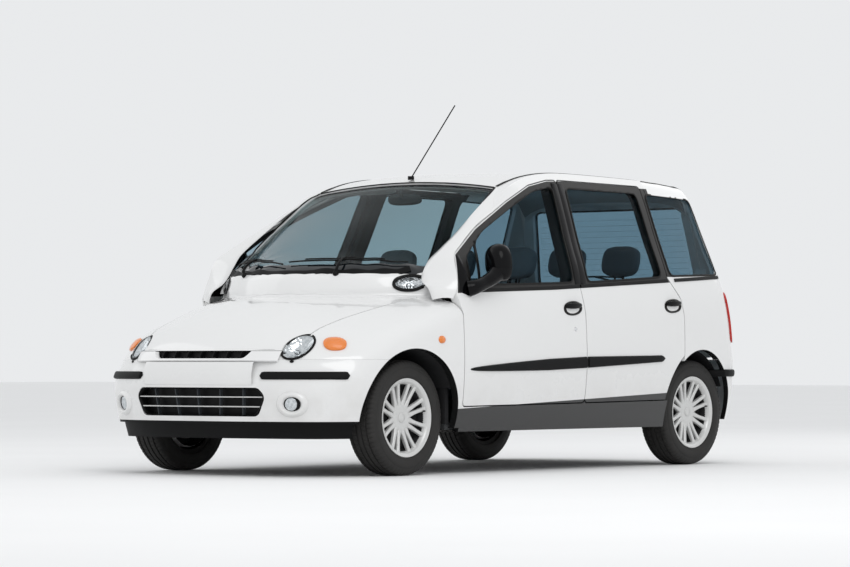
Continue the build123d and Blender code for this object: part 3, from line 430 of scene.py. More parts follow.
def floor_finish():
    look = Finish("studio floor", Roughness=0.9, Specular_IOR_Level=0.1)
    look.set(Base_Color=look.mix(look.noise(0.7, 2), (0.86, 0.86, 0.86), (0.9, 0.9, 0.9)))
    return look


RECIPES = {
    "paint": body_paint,
    "door": door_paint,
    # The trim plastic colour is real black plastic, darkened further as painted shade under the car.
    "trim": lambda: grained("grained trim", tuple(colours().plastic)),
    "seal": lambda: grained("rubber seal", (0.006, 0.006, 0.006), 0.5, 500, 0.00005),
    "frame": lambda: grained("satin window frame", tuple(colours().frames), 0.34, 1500, 0.00002),
    "gloss": lambda: grained("gloss black moulding", (0.003, 0.003, 0.0035), 0.12, 300, 0.00001),
    "dash": lambda: grained("dashboard plastic", (0.045, 0.050, 0.055), 0.6),
    "inner": lambda: grained("cabin trim", (0.22, 0.23, 0.24), 0.7),
    "lining": lambda: cloth("roof lining", (0.45, 0.45, 0.44), 1400),
    "carpet": lambda: cloth("carpet", (0.03, 0.032, 0.035), 700),
    "side_glass": lambda: pane("side glass", tuple(colours().glass), 0.02),
    "screen_glass": lambda: pane("windscreen glass", (0.86, 0.92, 0.92), 0.015, screen_edge),
    "clear": lambda: pane("clear lamp lens", (0.93, 0.95, 0.96), 0.01),
    "orange": lambda: lens("orange lens", tuple(colours().orange), 0.05),
    "red": lambda: lens("red lens", tuple(colours().red)),
    "reflector": reflector,
    "mirror": mirror_glass,
    "rubber": rubber,
    "wheel": lambda: metal("silver wheel paint", tuple(colours().wheel), 0.28, 90, 0.35, 0.00003),
    "steel": lambda: metal("brake steel", (0.42, 0.40, 0.38), 0.35, 120, 1.0, 0.0001),
    "chrome": lambda: metal("chrome", (0.86, 0.87, 0.88), 0.06, 40, 1.0, 0.00001),
    "iron": lambda: metal("cast iron", (0.10, 0.095, 0.09), 0.6, 200, 0.6, 0.0006),
    "underseal": lambda: grained("underseal", (0.020, 0.020, 0.021), 0.8, 260, 0.0006),
    "cloth": lambda: cloth("seat cloth", tuple(colours().cloth), 900),
    "floor": floor_finish,
}

# the slot named for each finish, where a piece doesn't name its own; it is looked up but not kept
SLOTS = {
    "paint": "body_paint", "trim": "dark_plastic", "seal": "dark_plastic", "dash": "dark_plastic",
    "inner": "dark_plastic", "frame": "dark_plastic", "gloss": "gloss_black", "wheel": "wheel_silver",
    "clear": "clear_lens", "reflector": "clear_lens", "orange": "red_lens", "red": "red_lens",
    "cloth": "seat_cloth", "lining": "seat_cloth", "rubber": "tyre_rubber",
}


# ---- mesh building ----
def piece(name, verts, faces, finish, body="root", slot=None, smooth=True, angle=35, subdivide=0):
    """A mesh object that rides on a body and has one finish; a slot is looked up from the finish unless
    given, but it is not kept.
    """
    mesh = bpy.data.meshes.new(name)
    mesh.from_pydata([tuple(v) for v in verts], [], faces)
    mesh.validate()
    obj = bpy.data.objects.new(name, mesh)
    bpy.context.scene.collection.objects.link(obj)
    mesh.materials.append(finish_of(finish))
    if smooth:
        soften(obj, angle, subdivide)
    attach(obj, body)
    slot or SLOTS[finish]
    return obj


def soften(obj, angle=35, subdivide=0, weld=False):
    """Smooth shading with crisp edges past an angle."""
    obj.data.polygons.foreach_set("use_smooth", [True] * len(obj.data.polygons))
    if weld:
        obj.modifiers.new("weld", "WELD").merge_threshold = 0.00003
    if subdivide:
        modifier = obj.modifiers.new("subdivision", "SUBSURF")
        modifier.levels = modifier.render_levels = subdivide
    if angle:
        obj.modifiers.new("edges", "EDGE_SPLIT").split_angle = math.radians(angle)
    return obj


def join(name, parts, finish, body="root", slot=None, **options):
    """One object from several (verts, faces) shapes."""
    verts, faces = [], []
    for more_verts, more_faces in parts:
        start = len(verts)
        verts += [Vector(v) for v in more_verts]
        faces += [[start + i for i in face] for face in more_faces]
    return piece(name, verts, faces, finish, body, slot, **options)


def loft(rings, closed=True, capped=True, looped=False):
    """Faces between rings of points with the same count."""
    count = len(rings[0])
    verts = [Vector(p) for ring in rings for p in ring]
    faces = []
    for k in range(len(rings) - (0 if looped else 1)):
        here, there = k * count, (k + 1) % len(rings) * count
        for i in range(count if closed else count - 1):
            j = (i + 1) % count
            faces.append([here + i, here + j, there + j, there + i])
    if capped and closed and not looped:
        faces.append(list(range(count))[::-1])
        faces.append([(len(rings) - 1) * count + i for i in range(count)])
    return verts, faces


def circle(count, across=1.0, up=1.0):
    """Places round a unit circle; powers below 1 square it."""
    for k in range(count):
        turn = 2 * math.pi * k / count
        c, s = math.cos(turn), math.sin(turn)
        yield math.copysign(abs(c) ** across, c), math.copysign(abs(s) ** up, s)


def turned(profile, centre, axis, steps=96):
    """A profile of (radius, along) points turned about an axis through a centre."""
    axis = Vector(axis).normalized()
    side = axis.orthogonal().normalized()
    up = axis.cross(side)
    rings = [[Vector(centre) + axis * along + (side * c + up * s) * radius for c, s in circle(steps)]
             for radius, along in profile]
    return loft(rings, capped=False)


def oval(centre, right, up, width, height, count=32, power=2.0):
    """Points of a rounded outline; a higher power makes it squarer."""
    return [Vector(centre) + Vector(right) * (width / 2 * x) + Vector(up) * (height / 2 * y)
            for x, y in circle(count, 2 / power, 2 / power)]


def smooth_path(points, steps):
    """A curve through points (Catmull-Rom)."""
    points = [Vector(p) for p in points]
    path = []
    for i, (p1, p2) in enumerate(zip(points, points[1:])):
        p0 = points[i - 1] if i else p1 * 2 - p2
        p3 = points[i + 2] if i + 2 < len(points) else p2 * 2 - p1
        for k in range(steps):
            t = k / steps
            path.append(0.5 * (2 * p1 + (p2 - p0) * t + (2 * p0 - 5 * p1 + 4 * p2 - p3) * t * t
                               + (3 * p1 - p0 - 3 * p2 + p3) * t ** 3))
    return path + [points[-1]]


def tube(path, radius, count):
    """A round bar along a path, with one radius or one for each point."""
    rings = []
    for i, p in enumerate(path):
        ahead = path[min(i + 1, len(path) - 1)]
        behind = path[max(i - 1, 0)]
        along = (ahead - behind).normalized()
        side = along.orthogonal().normalized() if i == 0 else (side - along * side.dot(along)).normalized()
        up = along.cross(side)
        r = radius[i] if isinstance(radius, list) else radius
        rings.append([p + (side * c + up * s) * r for c, s in circle(count)])
    return loft(rings)


# ---- finding the body's skin ----
def tree_of(names):
    verts, faces = [], []
    for name in names:
        mesh = NODES[name].data
        start = len(verts)
        verts += [v.co.copy() for v in mesh.vertices]
        faces += [[start + i for i in polygon.vertices] for polygon in mesh.polygons]
    return BVHTree.FromPolygons(verts, faces)


PAINTED = ["body_side_left", "body_side_right", "quarter_panels", "roof_panel", "scuttle_panel",
           "front_wings", "bonnet", "front_bumper", "rear_bumper", "tailgate"]
DOORS = [f"{place}_door_{side}" for place in ("front", "rear") for side in SIDES]
GLASS = [f"{place}_door_glass_{side}" for place in ("front", "rear") for side in SIDES]
GLASS += ["windscreen", "quarter_windows", "tailgate_glass"]
SKIN = tree_of(PAINTED + DOORS)
SHELL = tree_of(PAINTED + DOORS + GLASS + ["front_skirt"])


def meet(start, way, tree=SHELL):
    """Where a ray first comes to the skin; it looks beside itself too, so that no shut line swallows it."""
    way = Vector(way).normalized()
    side = way.orthogonal().normalized()
    up = way.cross(side)
    for spread in (0.008, 0.016, 0.03, 0.05):
        best = None
        for a, b in ((0, 0), (1, 0), (-1, 0), (0, 1), (0, -1)):
            origin = Vector(start) + (side * a + up * b) * spread
            place, normal, _, distance = tree.ray_cast(origin, way)
            if place and (best is None or distance < best[0] - 0.0015):
                best = (distance, normal)
        if best:
            normal = best[1] if best[1].dot(way) < 0 else -best[1]
            return Vector(start) + way * best[0], normal
    raise RuntimeError(f"no skin from {tuple(start)} towards {tuple(way)}")


def mirrored(half):
    """A section from its left edge to its crown, with its right half added."""
    return half + [(-u, h) for u, h in reversed(half[:-1])]


CROWNED = mirrored([(-1, -1), (-1, 0.55), (-0.8, 0.92), (0, 1)])
BROAD = mirrored([(-1, -1), (-1, 0.25), (-0.86, 0.72), (-0.55, 0.95), (0, 1)])
ROUND = mirrored([(-1, -1), (-1, 0.3), (-0.8, 0.8), (-0.4, 0.98), (0, 1)])
RIDGED = mirrored([(-1, -1), (-1, 0.6), (0, 1)])
LIPPED = mirrored([(-1, -1), (-1, 0.5), (0, 1)])


def skin_strip(points, half_width, height, ways, tree=SHELL, section=CROWNED, closed=False):
    """A moulding that follows the skin along a path, seen along one direction or one for each point."""
    if not isinstance(ways, list):
        ways = [ways] * len(points)
    feet, normals = zip(*(meet(p, way, tree) for p, way in zip(points, ways)))
    count = len(feet)
    rings = []
    for i in range(count):
        ahead = feet[(i + 1) % count] if closed or i + 1 < count else feet[i]
        behind = feet[i - 1] if closed or i else feet[i]
        along = (ahead - behind).normalized()
        around = [normals[(i + k) % count] if closed else normals[min(max(i + k, 0), count - 1)]
                  for k in (-2, -1, 0, 1, 2)]
        normal = sum(around, Vector()).normalized()
        normal = (normal - along * normal.dot(along)).normalized()
        side = along.cross(normal)
        wide, tall = (size(i / (count - 1)) if callable(size) else size for size in (half_width, height))
        rings.append([feet[i] + side * (u * wide) + normal * (tall * h if h > 0 else STRIP_SINK * h)
                      for u, h in section])
    return loft(rings, looped=closed)


def flip(shape):
    """The same shape on the car's other side."""
    verts, faces = shape
    return [Vector((-v[0], v[1], v[2])) for v in verts], [list(reversed(face)) for face in faces]


def patch(outline, way, height, tree=SKIN, rings=8, sink=0.004):
    """A sheet over an outline, laid on the skin and lifted by height(s), with s 0 in its middle and 1 at its
    edge; its rim is turned down into the skin."""
    centre = sum(outline, Vector()) / len(outline)
    count = len(outline)
    middle, normal = meet(centre, way, tree)
    verts = [middle + normal * height(0)]
    faces = []
    for k in range(1, rings + 1):
        s = k / rings
        for p in outline:
            foot, n = meet(centre.lerp(p, s), way, tree)
            verts.append(foot + (n * 0.5 + normal * 0.5).normalized() * height(s))
    for p in outline:
        foot, n = meet(p, way, tree)
        verts.append(foot - n * sink)
    for i in range(count):
        j = (i + 1) % count
        faces.append([0, 1 + i, 1 + j])
        for k in range(rings):
            here, there = 1 + k * count, 1 + (k + 1) * count
            faces.append([here + i, there + i, there + j, here + j])
    return facing((verts, faces), way)


def facing(shape, way):
    """Turns a sheet's faces so that they look against a direction."""
    verts, faces = shape
    a, b, c = (Vector(verts[i]) for i in faces[0][:3])
    if (b - a).cross(c - a).dot(Vector(way)) > 0:
        faces = [list(reversed(face)) for face in faces]
    return verts, faces


def panel(rows, way):
    """A sheet through rows of points, that looks against a direction."""
    return facing(loft(rows, closed=False), way)


def fan(ring, lift):
    """A flat face over a ring of points, lifted a little in its middle."""
    count = len(ring)
    faces = [[0, 1 + k, 1 + (k + 1) % count] for k in range(count)]
    return [sum(ring, Vector()) / count + lift, *ring], faces


def both(*shapes):
    """Shapes and their copies on the other side."""
    return [*shapes, *(flip(shape) for shape in shapes)]


def dome(bulge, power=2, lift=0.0):
    """The height of a lens or leaf from its middle to its edge."""
    return lambda s: bulge * (1 - s ** power) + lift


def mix(a, b, t):
    return a + (b - a) * t


def spread(a, b, steps):
    """Even values from a to b."""
    return [mix(a, b, k / steps) for k in range(steps + 1)]


def line_at(points, at):
    """Value at a place on straight lines between points."""
    for (x0, y0), (x1, y1) in zip(points, points[1:]):
        if at <= x1 or (x1, y1) == points[-1]:
            return mix(y0, y1, (at - x0) / (x1 - x0))


# ---- where rays towards the skin start outside the car, and how deep a strip sinks, in metres ----
FLANK = 1.3
ABOVE = 2.0
NOSE = -2.3
TAIL = 2.3
STRIP_SINK = 0.003

# ---- lines of the body that the trim follows, in metres ----
AXLES = (-1.262, 1.404)
ARCH_CENTRE_Z = 0.3035
ARCH_RADIUS = 0.3615
DOOR_A_Y = -0.874
DOOR_FRONT_EDGE = [(-0.914, 0.948), (-0.854, 1.168), (-0.596, 1.315), (-0.240, 1.472), (0.016, 1.570),
                   (0.206, 1.606), (0.298, 1.610)]
DOOR_B_Y = 0.232
DOOR_C_Y = 1.207
BELT_LINE = [(-0.91, 0.960), (-0.021, 0.991), (1.426, 1.067), (1.9, 1.092)]
SILL_LINE = [(-1.2, 0.336), (1.3, 0.4285)]
MOULDING_LINE = [(-0.823, 0.556), (0.232, 0.5935), (0.998, 0.615)]
FRONT_WINDOW = [(-0.782, 1.004), (-0.766, 1.158), (-0.544, 1.304), (-0.204, 1.448), (0.036, 1.542),
                (0.176, 1.566), (0.236, 1.570), (0.160, 1.034)]
REAR_WINDOW = [(0.294, 1.038), (0.360, 1.570), (1.045, 1.566), (1.041, 1.080)]
QUARTER_WINDOW = [(1.127, 1.088), (1.135, 1.564), (1.645, 1.548), (1.691, 1.106)]
SCREEN_EDGE = [(0.628, -0.222), (0.650, -0.30), (0.680, -0.45), (0.700, -0.66), (0.702, -0.79),
               (0.692, -0.88)]


def foot_line(x):
    """Where the screen's foot lies, for a distance from the middle."""
    return -1.262 + 0.7 * x * x


def rounded(points, radius, steps=5):
    """A closed outline of 2-D points with rounded corners."""
    out = []
    count = len(points)
    for i in range(count):
        p, q, r = (Vector(points[k % count]) for k in (i - 1, i, i + 1))
        cut = min(radius, (q - p).length * 0.45, (r - q).length * 0.45)
        start, end = q + (p - q).normalized() * cut, q + (r - q).normalized() * cut
        for t in spread(0, 1, steps):
            out.append(start * (1 - t) ** 2 + q * (2 * t * (1 - t)) + end * t * t)
    return out


def on_side(points, sign):
    """Points (y, z) placed well outside the car's flank."""
    return [Vector((sign * FLANK, y, z)) for y, z in points]


def resampled(points, gap):
    """Points at even distances along a closed path."""
    path = [Vector(p) for p in points] + [Vector(points[0])]
    out = []
    for a, b in zip(path, path[1:]):
        steps = max(1, round((b - a).length / gap))
        out += [a.lerp(b, k / steps) for k in range(steps)]
    return out


def strip(name, points, half_width, height, ways, finish, body="root", tree=SKIN, slot=None, twice=False,
          **options):
    """A piece laid along the skin, and with twice its copy on the car's other side."""
    shape = skin_strip(points, half_width, height, ways, tree, **options)
    join(name, both(shape) if twice else [shape], finish, body, slot)


def sheet(name, outline, way, height, finish, angle=35, **options):
    """A lens, bowl or panel laid on the skin on both sides of the car."""
    return join(name, both(patch(outline, way, height, **options)), finish, angle=angle)


# ---- the pieces ----
class PieceOperator(bpy.types.Operator):
    """Makes part of the car."""

    bl_options = {"REGISTER", "UNDO"}

    def execute(self, context):
        self.make()
        return {"FINISHED"}


class MINIVAN_OT_panels(PieceOperator):
    """Give the carried-over metal, glass and chassis nodes their finishes"""

    bl_idname = "minivan.panels"
    bl_label = "Panels and Chassis"

    def make(self):
        looks = {
            "paint": PAINTED,
            "door": DOORS,
            "side_glass": GLASS,
            "screen_glass": ["windscreen"],
            "clear": ["headlamps", "high_beam_lamps"],
            "red": ["tail_lamps"],
            "trim": ["front_skirt"],
            "gloss": ["radiator_grille", "door_mirror_left", "door_mirror_right"],
            "seal": ["aerial"],
            "dash": ["dashboard", "steering_wheel"],
            "cloth": ["front_seats", "rear_seats"],
            "carpet": ["floor_pan"],
            "underseal": ["wheel_arch_liners", "centre_posts", "bulkhead", "front_subframe", "rear_axle",
                          "fuel_tank"],
            "iron": ["engine", "knuckle_left", "knuckle_right"],
            "steel": ["exhaust"],
            "wheel": [name for name in NODES if "_rim_" in name],
            "rubber": [name for name in NODES if "_tyre_" in name],
        }
        finishes = {name: finish for finish, names in looks.items() for name in names}
        for name, node in NODES.items():
            node.data.materials.clear()
            node.data.materials.append(finish_of(finishes[name]))
            soften(node, 28, weld=True)


class MINIVAN_OT_wheels(PieceOperator):
    """Make the wheels: cast rims with twin spokes, and tyres with cut treads"""

    bl_idname = "minivan.wheels"
    bl_label = "Wheels and Tyres"

    BARREL = [(0.170, -0.078), (0.176, -0.060), (0.172, 0.02), (0.174, 0.050), (0.181, 0.066), (0.184, 0.071),
              (0.190, 0.0725), (0.200, 0.0755), (0.2055, 0.0795), (0.2075, 0.0825), (0.2060, 0.0840),
              (0.2030, 0.0832), (0.1960, 0.0800), (0.1900, 0.0775), (0.1860, 0.0745), (0.1835, 0.0690)]
    HUB = [(0.0255, 0.046), (0.030, 0.0465), (0.040, 0.0475), (0.056, 0.0485), (0.066, 0.0475),
           (0.071, 0.0445), (0.0725, 0.038), (0.070, 0.015), (0.029, 0.012)]
    WELL = [(0.1815, 0.066), (0.172, 0.046), (0.166, 0.02), (0.165, -0.078)]
    WELL_DISC = [(0.030, 0.016), (0.172, 0.016), (0.172, 0.012), (0.030, 0.012)]
    CAP = [(0.0005, 0.0535), (0.010, 0.0532), (0.022, 0.0515), (0.0255, 0.0485), (0.0265, 0.044)]
    BOLT = [(0.0005, 0.0445), (0.006, 0.0445), (0.0075, 0.043), (0.0075, 0.036)]
    VALVE = [(0.0005, 0.078), (0.004, 0.077), (0.0045, 0.052)]
    BOLT_CIRCLE = 0.047
    VALVE_CIRCLE = 0.166
    # along a spoke: radius, offset from the pair's middle, half width, height of its face, depth
    SPOKE = [(0.056, 0.0150, 0.0145, 0.0470, 0.020), (0.074, 0.0152, 0.0140, 0.0490, 0.021),
             (0.092, 0.0158, 0.0118, 0.0515, 0.021), (0.115, 0.0178, 0.0104, 0.0550, 0.020),
             (0.140, 0.0205, 0.0102, 0.0600, 0.019), (0.162, 0.0232, 0.0108, 0.0645, 0.018),
             (0.176, 0.0255, 0.0122, 0.0675, 0.018), (0.186, 0.0280, 0.0150, 0.0700, 0.016)]
    # from bead to shoulder: radius, distance from the tyre's middle, cross grooves (0 none, 1 straight)
    SIDEWALL = [(0.1885, 0.0705, 0), (0.2085, 0.0765, 0), (0.2110, 0.0865, 0), (0.2180, 0.0892, 0),
                (0.2190, 0.0882, 0), (0.2230, 0.0888, 0), (0.2330, 0.0912, 0), (0.2450, 0.0922, 0),
                (0.2560, 0.0914, 0), (0.2650, 0.0898, 0), (0.2660, 0.0888, 0), (0.2740, 0.0882, 0),
                (0.2820, 0.0858, 1), (0.2900, 0.0825, 1), (0.2958, 0.0772, 1), (0.2992, 0.0715, 1),
                (0.3012, 0.0640, 1), (0.3022, 0.0560, 1), (0.3022, 0.0555, 0)]
    PITCH_STEPS = 5

    def make(self):
        for end in ("front", "rear"):
            for side, sign in SIDES.items():
                low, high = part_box(f"{end}_tyre_{side}")
                centre = (low + high) / 2
                axis = Vector((sign, 0, 0))
                body = f"{end}_wheel_{side}"
                rim = join(f"{end}_cast_rim_{side}", self.rim(centre, axis), "wheel", body, angle=42)
                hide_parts(f"{end}_rim_{side}")
                tyre = join(f"{end}_treaded_tyre_{side}", [self.tyre(centre, axis)], "rubber", body, angle=38)
                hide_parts(f"{end}_tyre_{side}")
                well = [turned(self.WELL, centre, axis), turned(self.WELL_DISC, centre, axis)]
                join(f"{end}_rim_well_{side}", well, "underseal", body, "dark_plastic")
                join(f"{end}_hub_cap_{side}", [turned(self.CAP, centre, axis, 48)], "wheel", body)
                places = [centre + self.around(axis, math.pi / 2 * (k + 0.5)) * self.BOLT_CIRCLE
                          for k in range(4)]
                bolts = [turned(self.BOLT, place, axis, 6) for place in places]
                join(f"{end}_wheel_bolts_{side}", bolts, "chrome", body, "wheel_silver", smooth=False)
                valve = turned(self.VALVE, centre + self.around(axis, 0.2) * self.VALVE_CIRCLE, axis, 12)
                join(f"{end}_valve_{side}", [valve], "seal", body, "tyre_rubber")

    @staticmethod
    def around(axis, turn):
        side = Vector((0, math.copysign(1, axis.x), 0))
        return side * math.cos(turn) + Vector((0, 0, 1)) * math.sin(turn)

    def rim(self, centre, axis):
        shapes = [turned(self.BARREL, centre, axis, 128), turned(self.HUB, centre, axis, 64)]
        pairs = sizes().spoke_pairs
        for k in range(pairs):
            out = self.around(axis, 2 * math.pi * (k + 0.5) / pairs)
            across = axis.cross(out)
            for hand in (-1, 1):
                rings = []
                for radius, offset, half, face, deep in self.SPOKE:
                    middle = centre + out * radius + across * (hand * offset)
                    section = [(-1, -deep), (-1, -0.006), (-0.86, -0.0022), (-0.5, 0), (0.5, 0),
                               (0.86, -0.0022), (1, -0.006), (1, -deep)]
                    rings.append([middle + across * (u * half) + axis * (face + v) for u, v in section])
                shapes.append(loft(rings))
        return shapes

    def tyre(self, centre, axis):
        deep = sizes().tread_depth
        half = self.SIDEWALL + [
            (0.3022 - deep, 0.0540, 0), (0.3022 - deep, 0.0480, 0), (0.3026, 0.0465, 0), (0.3030, 0.0400, 2),
            (0.3033, 0.0330, 2), (0.3033, 0.0215, 0), (0.3033 - deep, 0.0200, 0), (0.3033 - deep, 0.0120, 0),
            (0.3034, 0.0105, 0), (0.3035, 0.0040, 0),
        ]
        profile = half + [(r, -a, cut) for r, a, cut in reversed(half)]
        count = sizes().tread_pitches * self.PITCH_STEPS
        up = Vector((0, 0, 1))
        fore = axis.cross(up)
        rings = []
        for radius, along, cut in profile:
            ring = []
            for k, (c, s) in enumerate(circle(count)):
                notch = (k + (2 if cut == 2 else 0)) % self.PITCH_STEPS == 0
                r = radius - (deep * 0.7 if cut and notch else 0)
                ring.append(centre + axis * along + (fore * c + up * s) * r)
            rings.append(ring)
        return loft(rings, capped=False)


class MINIVAN_OT_mouldings(PieceOperator):
    """Make the mouldings on the doors and bumpers, the belt strips and the roof gutters"""

    bl_idname = "minivan.mouldings"
    bl_label = "Mouldings"

    def make(self):
        size = sizes()
        full = size.moulding / 2
        mouldings = {
            "front": (MOULDING_LINE[0][0], DOOR_B_Y - 0.004,
                      lambda t: full * (0.12 + 0.88 * min(1, t * 1.5) ** 0.55),
                      lambda t: size.moulding_depth * min(1, 0.25 + t * 6)),
            "rear": (DOOR_B_Y + 0.011, MOULDING_LINE[-1][0],
                     lambda t: full * (1 - 0.42 * t) * min(1, math.sqrt(max(0.002, (1 - t) * 22))),
                     lambda t: size.moulding_depth * min(1, 0.2 + (1 - t) * 12)),
        }
        belts = {"front_door": (DOOR_A_Y + 0.03, DOOR_B_Y - 0.024), "rear_door": (DOOR_B_Y - 0.010, 1.085),
                 "quarter": (1.160, 1.690)}
        for side, sign in SIDES.items():
            way = (-sign, 0, 0)
            for place, (y0, y1, wide, tall) in mouldings.items():
                points = on_side([(y, line_at(MOULDING_LINE, y)) for y in spread(y0, y1, 40)], sign)
                strip(f"{place}_door_moulding_{side}", points, wide, tall, way, "trim",
                      f"{place}_door_{side}", section=BROAD)
            for name, (y0, y1) in belts.items():
                points = on_side([(y, line_at(BELT_LINE, y) + 0.011) for y in spread(y0, y1, 30)], sign)
                body = "root" if name == "quarter" else f"{name}_{side}"
                strip(f"{name}_belt_strip_{side}", points, size.belt / 2, 0.0045, way, "seal", body)
        for end, y, start, stop, z in (("front", -1.25, 10.5, 50, 0.525), ("rear", 1.30, 14, 62, 0.530)):
            outs = [Vector((math.sin(turn), math.copysign(math.cos(turn), y), 0))
                    for turn in map(math.radians, spread(start, stop, 36))]
            points = [Vector((0.28, y, z)) + out * FLANK for out in outs]
            strip(f"{end}_rub_strips", points, self.pill(0.021, 0.035), self.pill(0.012, 0.02),
                  [-out for out in outs], "trim", section=ROUND, twice=True)
        gutter_line = [(-0.222, 0.6265), (0.1, 0.6205), (1.36, 0.6205), (1.712, 0.597)]
        points = [Vector((line_at(gutter_line, y), y, ABOVE)) for y in spread(-0.20, 1.66, 50)]
        strip("roof_gutters", points, lambda t: size.gutter / 2 * min(1, (1 - t) * 3 + 0.2), 0.0028,
              (0, 0, -1), "seal", twice=True)

    @staticmethod
    def pill(wide, ends):
        return lambda t: wide * min(1, math.sqrt(max(0.0004, min(t, 1 - t) / ends)))


class MINIVAN_OT_pillars(PieceOperator):
    """Make the white covers of the windscreen pillars, between the screen and the front doors"""

    bl_idname = "minivan.pillars"
    bl_label = "Pillar Covers"

    def make(self):
        screen_line = [(0.648, -0.235, 1.549), (0.681, -0.451, 1.430), (0.703, -0.659, 1.297),
                       (0.704, -0.813, 1.199), (0.688, -0.895, 1.130), (0.700, -0.960, 1.040),
                       (0.768, -0.985, 0.985), (0.796, -0.985, 0.925)]
        door_line = [(-0.230, 1.489), (-0.420, 1.405), (-0.590, 1.330), (-0.780, 1.222), (-0.868, 1.160),
                     (-0.888, 1.060), (-0.908, 0.984), (-0.925, 0.930)]
        crown = ((0, -0.006), (0, 0), (0.2, 0.006), (0.45, 0.010), (0.7, 0.009), (0.9, 0.004), (1, 0),
                 (1, -0.012))
        out = Vector((0.62, -0.25, 0.74)).normalized()
        outer = []
        for y, z in door_line:
            foot, _ = meet((FLANK, y + 0.016, z - 0.012), (-1, 0, 0), SKIN)
            outer.append(Vector((foot.x - (0.004 if z > 0.95 else 0.024), y, z)))
        edges = zip(smooth_path(screen_line, 6), smooth_path(outer, 6))
        rings = [[a.lerp(b, t) + out * lift for t, lift in crown] for a, b in edges]
        join("pillar_covers", both(panel(rings, -out)), "paint", angle=50)


class MINIVAN_OT_windows(PieceOperator):
    """Make the seals of the glazed openings, the door pillars' covers, the cowl and the wipers"""

    bl_idname = "minivan.windows"
    bl_label = "Window Seals"

    def make(self):
        down = (0, 0, -1)
        for side, sign in SIDES.items():
            way = (-sign, 0, 0)
            front, rear = f"front_door_{side}", f"rear_door_{side}"
            for name, window, body in (("front_door", FRONT_WINDOW, front), ("rear_door", REAR_WINDOW, rear),
                                       ("quarter", QUARTER_WINDOW, "root")):
                path = on_side(resampled(rounded(window, 0.045), 0.02), sign)
                strip(f"{name}_window_seal_{side}", path, 0.0055, 0.0015, way, "seal", body, section=RIDGED,
                      closed=True)
            for name, (y0, z0), (y1, z1), body in (("front", (0.199, 1.022), (0.266, 1.592), front),
                                                   ("rear", (0.250, 1.026), (0.320, 1.592), rear)):
                path = on_side(zip(spread(y0, y1, 20), spread(z0, z1, 20)), sign)
                strip(f"{name}_pillar_cover_{side}", path, 0.026, 0.0018, way, "gloss", body,
                      slot="dark_plastic")
            bar = on_side(zip(spread(-0.694, -0.640, 12), spread(1.0, 1.244, 12)), sign)
            strip(f"quarter_light_bar_{side}", bar, 0.009, 0.004, way, "seal", front, SHELL)
        cowl = [(x, foot_line(x) + 0.014, ABOVE) for x in spread(-0.63, 0.63, 60)]
        strip("screen_cowl", cowl, 0.019, 0.003, down, "trim", tree=SHELL)
        edge = smooth_path([(x, y, ABOVE) for x, y in SCREEN_EDGE], 6)
        strip("screen_side_seals", edge, 0.006, 0.002, down, "seal", tree=SHELL, twice=True)
        top = [(x, -0.221, ABOVE) for x in spread(-0.62, 0.62, 40)]
        strip("screen_top_seal", top, 0.006, 0.002, down, "seal", tree=SHELL)
        join("wipers", self.wiper(0.30, 0.60, -0.03) + self.wiper(-0.36, -0.06, -0.62), "seal")

    @staticmethod
    def wiper(pivot, near, far):
        """A blade from near to far with its spine, and an arm from a boss at the pivot."""
        down = (0, 0, -1)
        blade = []
        for t in spread(0, 1, 24):
            x = mix(near, far, t)
            lift = 0.040 + 0.050 * math.sin(math.pi * t) ** 0.8 * 0.5 + 0.02 * t
            foot, normal = meet((x, foot_line(x) + lift + 0.02, ABOVE), down)
            blade.append(foot + normal * 0.013)
        spine = [p + Vector((0, -0.004, 0.009)) for p in blade[4:21]]
        start, normal = meet((pivot, foot_line(pivot) + 0.006, ABOVE), down)
        middle = blade[12] + Vector((0, 0, 0.012))
        arm = smooth_path([start + normal * 0.006, start.lerp(middle, 0.15) + normal * 0.030,
                           start.lerp(middle, 0.6) + normal * 0.026, middle], 6)
        boss = [(0.0005, 0.026), (0.011, 0.024), (0.016, 0.014), (0.018, -0.01)]
        return [tube(blade, 0.0045, 8), tube(spine, 0.0038, 8),
                tube(arm, spread(0.010, 0.005, len(arm) - 1), 8), turned(boss, start, normal, 24)]


class MINIVAN_OT_handles(PieceOperator):
    """Make the door handles and locks"""

    bl_idname = "minivan.handles"
    bl_label = "Door Handles"

    def make(self):
        bowl = [(0, -0.010), (0.45, -0.008), (0.74, 0.001), (0.86, 0.0065), (0.95, 0.006), (1, 0.002)]
        lock = [(0.0005, 0.0035), (0.008, 0.0038), (0.0105, 0.003), (0.0118, 0.001), (0.012, -0.003)]
        for side, sign in SIDES.items():
            way = (-sign, 0, 0)
            for place, y, z in (("front", 0.118, 0.891), ("rear", 1.100, 0.915)):
                body = f"{place}_door_{side}"
                ring = oval((sign * FLANK, y, z), (0, sign, 0.06), (0, 0, 1), 0.172, 0.080, 40, 2.2)
                join(f"{place}_handle_bowl_{side}", [patch(ring, way, lambda s: line_at(bowl, s))], "frame",
                     body, angle=60)
                rings = []
                for t in spread(0, 1, 16):
                    start = (sign * FLANK, y + mix(-0.074, 0.074, t), z + 0.012 + mix(-0.003, 0.003, t))
                    foot, normal = meet(start, way, SKIN)
                    middle = foot + normal * (0.006 + 0.011 * math.sin(math.pi * t) ** 0.6)
                    wide = 0.0165 * (0.55 + 0.45 * math.sin(math.pi * t) ** 0.7)
                    rings.append(oval(middle, (0, 0, 1), normal, wide * 2, 0.011, 16, 2.6))
                join(f"{place}_handle_lever_{side}", [loft(rings)], "gloss", body)
            foot, normal = meet((sign * FLANK, 0.134, 0.776), way, SKIN)
            join(f"door_lock_{side}", [turned(lock, foot, normal, 32)], "chrome", f"front_door_{side}",
                 "gloss_black")


